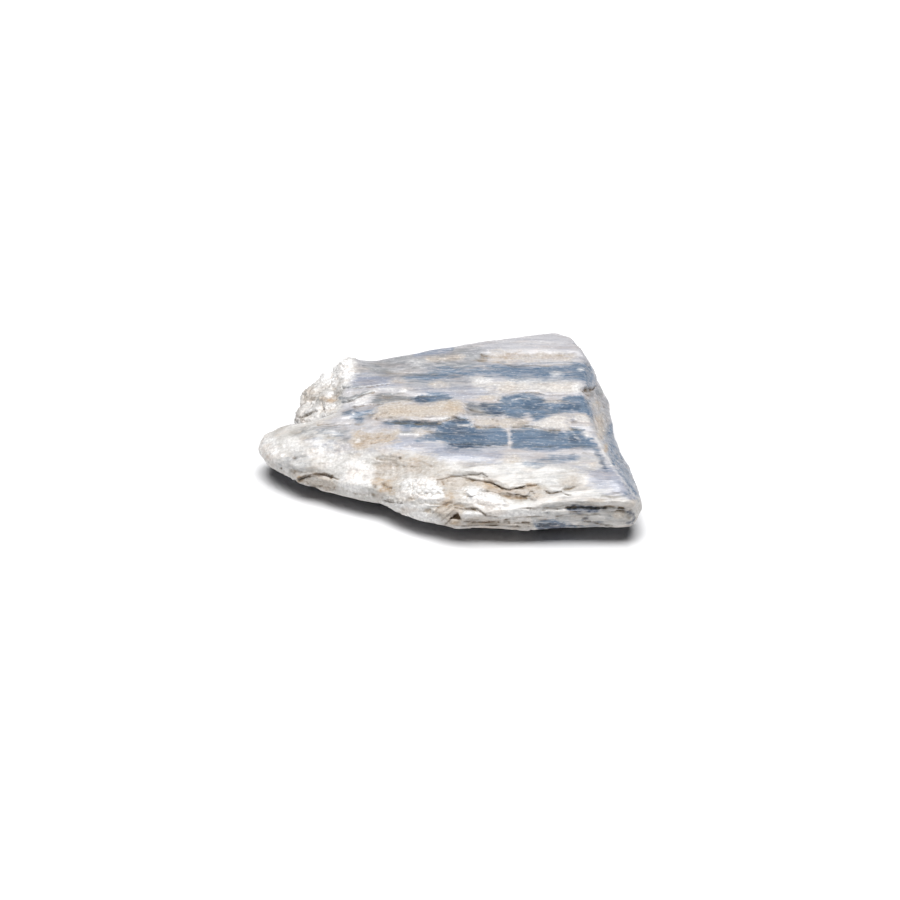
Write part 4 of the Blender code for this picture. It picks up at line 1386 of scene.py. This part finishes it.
VEILS = (
    Veil("pale flecks", FLECK, 0.56, 0.7, 0.5, "#CCCACC"),
    Veil("dark flecks", FLECK, 0.4, 0.26, 0.3, "#A7A9AE", "MULTIPLY"),
    Veil("pale scratches", SCRATCH, 0.56, 0.72, 0.3, "#CCCACC"),
    Veil("dark scratches", SCRATCH, 0.42, 0.28, 0.35, "#A7A9AE", "MULTIPLY"),
    # Painted highlights: small white glints where the mica would catch the lamp.
    Veil("painted glints of mica", GRAIN, 0.62, 0.72, 0.28, "#F6F5F3"),
    Veil("rust in the sand", ROUND_EDGE, 0.46, 0.34, 0.4, "#A08869", "MIX", Mineral.SAND),
    Veil("warm stain", STAIN, 0.48, 0.66, 0.5, "#F0E4DA", "MULTIPLY"),
)


def linear(code: str) -> tuple[float, float, float, float]:
    """Turns an sRGB hex colour into the linear colour that a shader takes.

    Args:
        code: the colour, as a hash sign and six hex digits.

    Returns:
        Red, green, blue and a full alpha.
    """
    channels = [int(code[i:i + 2], 16) / 255.0 for i in (1, 3, 5)]
    made = [c / 12.92 if c <= 0.04045 else ((c + 0.055) / 1.055) ** 2.4 for c in channels]
    return (*made, 1.0)


def add_node(tree: bpy.types.NodeTree, kind: str, links: dict, **settings: object) -> bpy.types.Node:
    """Adds a shader node.

    Args:
        tree: the material's node tree.
        kind: the node's type name.
        links: for each input, its number or name and a value or another node's output.
        settings: the node's own properties.

    Returns:
        The new node.
    """
    made = tree.nodes.new(kind)
    for name, value in settings.items():
        setattr(made, name, value)
    for key, value in links.items():
        if isinstance(value, Socket):
            tree.links.new(value, made.inputs[key])
        else:
            made.inputs[key].default_value = value
    return made


@dataclass(frozen=True)
class KyaniteFinish:
    """Bladed kyanite with mica, quartz and iron-stained clay, broken and a little worn.

    Kyanite is glassy to pearly on its cleavage faces. The clay and the worn edges are dull, and the
    mica's small flat plates shine with painted glints.
    """

    ground: tuple[str, str] = ("#AFAFB5", "#CCCACC")
    # Brownish grime and painted shade, multiplied in where the mesh lies in a hollow.
    grime_and_shade: str = "#B3A189"
    # Painted shade for the hidden faces that look down, which also deepens the stone's shadow on the
    # card.
    underside_shade: str = "#5E6069"
    tone_levels: tuple[float, float] = (0.35, 0.65)
    cover_levels: tuple[float, float] = (0.08, 0.9)
    edge_gain: float = 4.0
    edge_end: float = 1.2
    speckle_levels: tuple[float, float] = (0.3, 0.7)
    speckle: tuple[float, float] = (0.93, 1.05)
    refraction: float = 1.72
    polish: float = 0.42
    dullness: float = 0.86
    unevenness: float = 0.3
    bump_strength: float = 0.5
    bump_mm: float = 0.05

    @staticmethod
    def noises(tree: bpy.types.NodeTree) -> Noises:
        """Adds the noise of every pattern.

        Args:
            tree: the material's node tree.

        Returns:
            Each pattern's value.
        """
        coords = add_node(tree, "ShaderNodeTexCoord", {}).outputs["Object"]
        made = {}
        for pattern in PATTERNS:
            scale = tuple(1.0 / (MM * length) for length in pattern.size)
            place = add_node(tree, "ShaderNodeMapping", {0: coords, "Scale": scale}).outputs[0]
            links = {"Vector": place, "Scale": 1.0, "Detail": pattern.detail}
            made[pattern] = add_node(tree, "ShaderNodeTexNoise", links).outputs[0]
        return made

    @staticmethod
    def painted(tree: bpy.types.NodeTree, name: str) -> Socket:
        """Adds the node that reads one painted attribute of the mesh."""
        return add_node(tree, "ShaderNodeAttribute", {}, attribute_name=name).outputs["Fac"]

    def cover(self, tree: bpy.types.NodeTree, mineral: Mineral, noises: Noises) -> Socket:
        """Adds the nodes that turn a mineral's attribute into its cover, with ragged edges.

        Args:
            tree: the material's node tree.
            mineral: whose attribute is read.
            noises: each pattern's value.

        Returns:
            The cover, from 0 to 1.
        """
        tones = TONES[mineral]
        read = self.painted(tree, mineral.value)
        rest = add_node(tree, "ShaderNodeMath", {0: self.edge_end, 1: read}, operation="SUBTRACT")
        edge = add_node(tree, "ShaderNodeMath", {0: read, 1: rest.outputs[0]}, operation="MULTIPLY")
        gain = self.edge_gain * tones.ragged
        links = {0: noises[tones.edge], 1: gain, 2: -gain / 2.0}
        shift = add_node(tree, "ShaderNodeMath", links, operation="MULTIPLY_ADD")
        links = {0: edge.outputs[0], 1: shift.outputs[0], 2: read}
        both = add_node(tree, "ShaderNodeMath", links, operation="MULTIPLY_ADD")
        low, high = self.cover_levels
        return add_node(tree, "ShaderNodeMapRange", {0: both.outputs[0], 1: low, 2: high}).outputs[0]

    def tone(self, tree: bpy.types.NodeTree, low: str, high: str, share: Socket) -> Socket:
        """Adds the nodes for a colour that a pattern moves between two tones.

        Args:
            tree: the material's node tree.
            low: the tone where the pattern is low.
            high: the tone where it is high.
            share: the pattern's value.

        Returns:
            The colour.
        """
        start, full = self.tone_levels
        spread = add_node(tree, "ShaderNodeMapRange", {0: share, 1: start, 2: full}).outputs[0]
        links = {0: spread, 6: linear(low), 7: linear(high)}
        return add_node(tree, "ShaderNodeMix", links, data_type="RGBA").outputs[2]

    def layers(self, tree: bpy.types.NodeTree, noises: Noises, covers: Covers) -> list[Layer]:
        """Lists what lies on the pale ground, from the lowest layer up.

        Args:
            tree: the material's node tree.
            noises: each pattern's value.
            covers: each mineral's cover.

        Returns:
            Each layer's share, colour and way of blending.
        """
        made: list[Layer] = []
        for mineral, tones in TONES.items():
            colour = self.tone(tree, tones.low, tones.high, noises[tones.between])
            made.append((covers[mineral], colour, "MIX"))
        for veil in VEILS:
            links = {0: noises[veil.pattern], 1: veil.start, 2: veil.full, 4: veil.strength}
            share = add_node(tree, "ShaderNodeMapRange", links, label=veil.name).outputs[0]
            if veil.only_on is not None:
                links = {0: share, 1: covers[veil.only_on]}
                share = add_node(tree, "ShaderNodeMath", links, operation="MULTIPLY").outputs[0]
            made.append((share, linear(veil.colour), veil.blend))
        # Painted shade on the hidden faces that look down.
        made.append((self.painted(tree, UNDER_SHADE), linear(self.underside_shade), "MULTIPLY"))
        # Painted shade with grime: the colour darkens towards brown in the hollows, where shade falls.
        made.append((self.painted(tree, HOLLOW), linear(self.grime_and_shade), "MULTIPLY"))
        return made

    def colour(self, tree: bpy.types.NodeTree, noises: Noises, covers: Covers) -> Socket:
        """Adds the nodes for the stone's colour.

        Args:
            tree: the material's node tree.
            noises: each pattern's value.
            covers: each mineral's cover.

        Returns:
            The colour, with a fine speckle.
        """
        colour = self.tone(tree, *self.ground, noises[STREAK])
        for share, tint, blend in self.layers(tree, noises, covers):
            links = {0: share, 6: colour, 7: tint}
            colour = add_node(tree, "ShaderNodeMix", links, data_type="RGBA", blend_type=blend).outputs[2]
        start, full = self.speckle_levels
        low, high = self.speckle
        links = {0: noises[GRAIN], 1: start, 2: full, 3: low, 4: high}
        speckle = add_node(tree, "ShaderNodeMapRange", links).outputs[0]
        links = {0: colour, 1: speckle}
        return add_node(tree, "ShaderNodeVectorMath", links, operation="MULTIPLY").outputs[0]

    def roughness(self, tree: bpy.types.NodeTree, noises: Noises, covers: Covers) -> Socket:
        """Adds the nodes for the roughness: clay and hollows are dull, and the rest is polished.

        Args:
            tree: the material's node tree.
            noises: each pattern's value.
            covers: each mineral's cover.

        Returns:
            The roughness.
        """
        links = {0: covers[Mineral.SAND], 1: self.painted(tree, HOLLOW)}
        clay = add_node(tree, "ShaderNodeMath", links, operation="MAXIMUM").outputs[0]
        links = {0: clay, 3: self.polish, 4: self.dullness}
        rough = add_node(tree, "ShaderNodeMapRange", links).outputs[0]
        links = {0: noises[GRAIN], 1: self.unevenness, 2: -self.unevenness / 2.0}
        uneven = add_node(tree, "ShaderNodeMath", links, operation="MULTIPLY_ADD").outputs[0]
        links = {0: rough, 1: uneven}
        return add_node(tree, "ShaderNodeMath", links, operation="ADD", use_clamp=True).outputs[0]

    def material(self) -> bpy.types.Material:
        """Makes the stone's material.

        Returns:
            The material, whose minerals follow the mesh's painted attributes.
        """
        made = bpy.data.materials.new("bladed_kyanite")
        made.use_nodes = True
        tree = made.node_tree
        noises = self.noises(tree)
        covers = {mineral: self.cover(tree, mineral, noises) for mineral in Mineral}
        links = {0: noises[STRIATION], 1: noises[GRAIN]}
        height = add_node(tree, "ShaderNodeMath", links, operation="ADD").outputs[0]
        links = {"Height": height, "Strength": self.bump_strength, "Distance": self.bump_mm * MM}
        bump = add_node(tree, "ShaderNodeBump", links).outputs[0]
        shader = tree.nodes["Principled BSDF"]
        tree.links.new(self.colour(tree, noises, covers), shader.inputs["Base Color"])
        tree.links.new(self.roughness(tree, noises, covers), shader.inputs["Roughness"])
        tree.links.new(bump, shader.inputs["Normal"])
        shader.inputs["Metallic"].default_value = 0.0
        shader.inputs["IOR"].default_value = self.refraction
        return made


@dataclass
class KyaniteStone:
    """The whole slab: its mesh, its fine relief, its painted minerals and its finish."""

    camera: PhotoCamera
    relief: StoneRelief = field(default_factory=StoneRelief)
    finish: KyaniteFinish = field(default_factory=KyaniteFinish)
    weld: float = 0.002
    voxel: float = 0.15
    polish_rounds: int = 6
    foot_height: float = 0.12
    triangle_limit: int = 196000
    hidden_depth: float = 1.0
    hidden_share: float = 0.25
    hidden_pull: float = 1000.0
    hollow_rounds: int = 14
    hollow_depth: float = 0.16
    break_grime_and_shade_cut: float = 0.6
    band_wander: float = 0.1
    band_sharpness: float = 3.0
    under_shade_from: float = 0.1
    under_shade_full: float = 0.6

    def smooth_copy(self) -> bpy.types.Object:
        """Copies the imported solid, rounds its facets off and gives it an even fine mesh.

        Returns:
            The copy, as an object of its own.
        """
        bpy.ops.object.select_all(action="DESELECT")
        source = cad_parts[STONE_NODE]
        stone = bpy.data.objects.new("stone", source.data.copy())
        bpy.context.scene.collection.objects.link(stone)
        stone.select_set(True)
        bpy.context.view_layer.objects.active = stone
        bpy.ops.object.mode_set(mode="EDIT")
        bpy.ops.mesh.select_all(action="SELECT")
        bpy.ops.mesh.remove_doubles(threshold=self.weld * MM)
        bpy.ops.mesh.normals_make_consistent(inside=False)
        bpy.ops.object.mode_set(mode="OBJECT")
        rounding = stone.modifiers.new("rounding", "SUBSURF")
        rounding.levels = 1
        rounding.render_levels = 1
        remesh = stone.modifiers.new("even_mesh", "REMESH")
        remesh.mode = "VOXEL"
        remesh.voxel_size = self.voxel * MM
        polish = stone.modifiers.new("polish", "SMOOTH")
        polish.iterations = self.polish_rounds
        for name in ("rounding", "even_mesh", "polish"):
            bpy.ops.object.modifier_apply(modifier=name)
        return stone

    @staticmethod
    def faces_of(mesh: bpy.types.Mesh) -> BVHTree:
        """Gathers a mesh's faces for rays.

        Args:
            mesh: the stone's mesh.

        Returns:
            The faces, in millimetres.
        """
        mesh.calc_loop_triangles()
        corners = mesh_array(mesh.loop_triangles, "vertices")
        return BVHTree.FromPolygons(points_of(mesh).tolist(), corners.tolist())

    def sculpt(self, stone: bpy.types.Object) -> None:
        """Works the fine relief into the mesh, and keeps the foot flat and the box unchanged.

        Args:
            stone: the smooth stone.
        """
        mesh = stone.data
        points = points_of(mesh)
        normals = mesh_array(mesh.vertices, "normal")
        tree = self.faces_of(mesh)
        reading = StoneReading.of(points, normals, self.camera, tree)
        push = self.relief.push(points, normals, reading, tree, self.camera)
        moved = points + normals * push[:, None]
        on_foot = points[:, 2] < self.foot_height
        moved[on_foot] = points[on_foot]
        low, high = (np.array(corner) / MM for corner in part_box(STONE_NODE))
        moved = np.clip(moved, low, high)
        mesh.vertices.foreach_set("co", (moved * MM).ravel())
        mesh.update()

    @staticmethod
    def triangles_of(mesh: bpy.types.Mesh) -> int:
        """Counts the triangles that a mesh's faces make."""
        return sum(len(face.vertices) - 2 for face in mesh.polygons)

    def thin(self, stone: bpy.types.Object) -> None:
        """Thins the mesh out down to the limit, most on the hidden sides, and turns its faces out.

        Args:
            stone: the stone with its relief.
        """
        bpy.context.view_layer.objects.active = stone
        mesh = stone.data
        points = points_of(mesh)
        hidden = self.camera.depth_behind(points, self.faces_of(mesh)) > self.hidden_depth
        group = stone.vertex_groups.new(name="hidden")
        group.add(np.flatnonzero(hidden).tolist(), 1.0, "REPLACE")
        total = len(mesh.loop_triangles)
        kept = total * (1.0 - (1.0 - self.hidden_share) * hidden.mean())
        for name, ratio in (("hidden", kept / total), ("", self.triangle_limit / kept)):
            thinning = stone.modifiers.new("thinning", "DECIMATE")
            thinning.vertex_group = name
            thinning.vertex_group_factor = self.hidden_pull
            thinning.ratio = min(1.0, ratio)
            bpy.ops.object.modifier_apply(modifier="thinning")
            log.info("stone: thinned to %d triangles", self.triangles_of(stone.data))
        stone.vertex_groups.clear()
        bpy.ops.object.mode_set(mode="EDIT")
        bpy.ops.mesh.select_all(action="SELECT")
        bpy.ops.mesh.normals_make_consistent(inside=False)
        bpy.ops.object.mode_set(mode="OBJECT")
        bpy.ops.object.shade_smooth()

    def hollows(self, mesh: bpy.types.Mesh) -> np.ndarray:
        """Gives how deep each point lies in a hollow, by a copy of the mesh that is smoothed flat.

        Args:
            mesh: the stone's mesh.

        Returns:
            One share for each point, from 0 to 1.
        """
        points = points_of(mesh)
        normals = mesh_array(mesh.vertices, "normal")
        first, second = mesh_array(mesh.edges, "vertices", 2).T
        count = len(points)
        reach = np.bincount(first, minlength=count) + np.bincount(second, minlength=count)
        soft = points.copy()
        for _ in range(self.hollow_rounds):
            total = np.zeros((count, 3))
            for axis in range(3):
                total[:, axis] += np.bincount(first, soft[second, axis], count)
                total[:, axis] += np.bincount(second, soft[first, axis], count)
            soft = total / reach[:, None]
        depth = np.einsum("ij,ij->i", soft - points, normals)
        return ramp(depth, 0.0, self.hollow_depth)

    def paint(self, stone: bpy.types.Object) -> None:
        """Paints the minerals: by the marks where the photograph shows the stone, else in bands.

        Args:
            stone: the thinned stone.
        """
        mesh = stone.data
        points = points_of(mesh)
        normals = mesh_array(mesh.vertices, "normal")
        reading = StoneReading.of(points, normals, self.camera, self.faces_of(mesh))
        for mineral in Mineral:
            band = HIDDEN_BANDS[mineral]
            swing = noise_at(points, band.size, band.shift) + self.band_wander * reading.wander
            hidden = band.strength * np.clip(0.5 + (swing - band.edge) * self.band_sharpness, 0.0, 1.0)
            cover = reading.cover(MARKS[mineral])
            values = reading.known * cover + (1.0 - reading.known) * hidden
            self.attribute(mesh, mineral.value, values)
        # Painted shade with grime in the hollows, lessened in the rough break on the left.
        break_spared = self.break_grime_and_shade_cut * self.relief.in_break(points)
        self.attribute(mesh, HOLLOW, self.hollows(mesh) * (1.0 - break_spared))
        # Painted shade: hidden faces that look down are darkened, so less light bounces into the stone's
        # shadow.
        under = ramp(-normals[:, 2], self.under_shade_from, self.under_shade_full) * (1.0 - reading.known)
        self.attribute(mesh, UNDER_SHADE, under)

    @staticmethod
    def attribute(mesh: bpy.types.Mesh, name: str, values: np.ndarray) -> None:
        """Writes one number for each vertex."""
        layer = mesh.attributes.new(name, "FLOAT", "POINT")
        layer.data.foreach_set("value", values.astype(np.float32))

    def build(self) -> bpy.types.Object:
        """Builds, paints and dresses the stone, and lets it stand for its CAD node.

        Returns:
            The finished stone.
        """
        stone = self.smooth_copy()
        log.info("stone: even mesh of %d faces", len(stone.data.polygons))
        self.sculpt(stone)
        self.thin(stone)
        log.info("stone: relief worked in")
        self.paint(stone)
        stone.data.materials.clear()
        stone.data.materials.append(self.finish.material())
        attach(stone, "root")
        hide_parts(STONE_NODE)
        return stone


@dataclass(frozen=True)
class PaperFinish:
    """White card: matt, and so bright under the lamp that it burns out.

    Far from the stone, where the lamp hardly reaches, the card glows a little and so stays white.
    """

    colour: str = "#F9F9FA"
    roughness: float = 0.9
    specular: float = 0.2
    glow_from: float = 0.15
    glow_full: float = 0.5

    def material(self) -> bpy.types.Material:
        """Makes the card's material.

        Returns:
            The material, which glows only far from the stone.
        """
        made = bpy.data.materials.new("white_card")
        made.use_nodes = True
        tree = made.node_tree
        shader = tree.nodes["Principled BSDF"]
        coords = add_node(tree, "ShaderNodeTexCoord", {}).outputs["Object"]
        away = add_node(tree, "ShaderNodeVectorMath", {0: coords}, operation="LENGTH").outputs["Value"]
        glow = add_node(tree, "ShaderNodeMapRange", {0: away, 1: self.glow_from, 2: self.glow_full})
        tree.links.new(glow.outputs[0], shader.inputs["Emission Strength"])
        shader.inputs["Emission Color"].default_value = linear(self.colour)
        shader.inputs["Base Color"].default_value = linear(self.colour)
        shader.inputs["Roughness"].default_value = self.roughness
        shader.inputs["Specular IOR Level"].default_value = self.specular
        return made


@dataclass
class Studio:
    """A white card floor under one wide soft lamp, with a little light from all round."""

    floor_side: float = 3.0
    floor_gap_mm: float = 0.02
    lamp_side: float = 0.5
    lamp_height: float = 0.62
    lamp_front: float = 0.045
    lamp_watts: float = 6.3
    fill: float = 0.012
    fill_colour: tuple[float, float, float, float] = (0.97, 0.98, 1.0, 1.0)
    finish: PaperFinish = field(default_factory=PaperFinish)

    def build(self) -> None:
        """Adds the floor, the lamp and the fill, and shows the light as it falls."""
        bpy.ops.object.select_all(action="DESELECT")
        place = (0.0, 0.0, -self.floor_gap_mm * MM)
        bpy.ops.mesh.primitive_plane_add(size=self.floor_side, location=place)
        floor = bpy.context.object
        floor.name = "card_floor"
        floor.data.materials.append(self.finish.material())
        bpy.ops.object.light_add(type="AREA", location=(0.0, -self.lamp_front, self.lamp_height))
        lamp = bpy.context.object
        lamp.name = "soft_lamp"
        lamp.data.size = self.lamp_side
        lamp.data.energy = self.lamp_watts
        world = bpy.data.worlds.new("room")
        world.use_nodes = True
        background = world.node_tree.nodes["Background"]
        background.inputs["Strength"].default_value = self.fill
        background.inputs["Color"].default_value = self.fill_colour
        bpy.context.scene.world = world
        bpy.context.scene.view_settings.view_transform = "Standard"


def main() -> None:
    """Builds the stone and its studio."""
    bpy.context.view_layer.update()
    camera = PhotoCamera()
    camera.build()
    stone = KyaniteStone(camera).build()
    log.info("%s: finished", stone.name)
    Studio().build()
    log.info("studio: floor, lamp and fill")


if __name__ == "__main__":
    main()
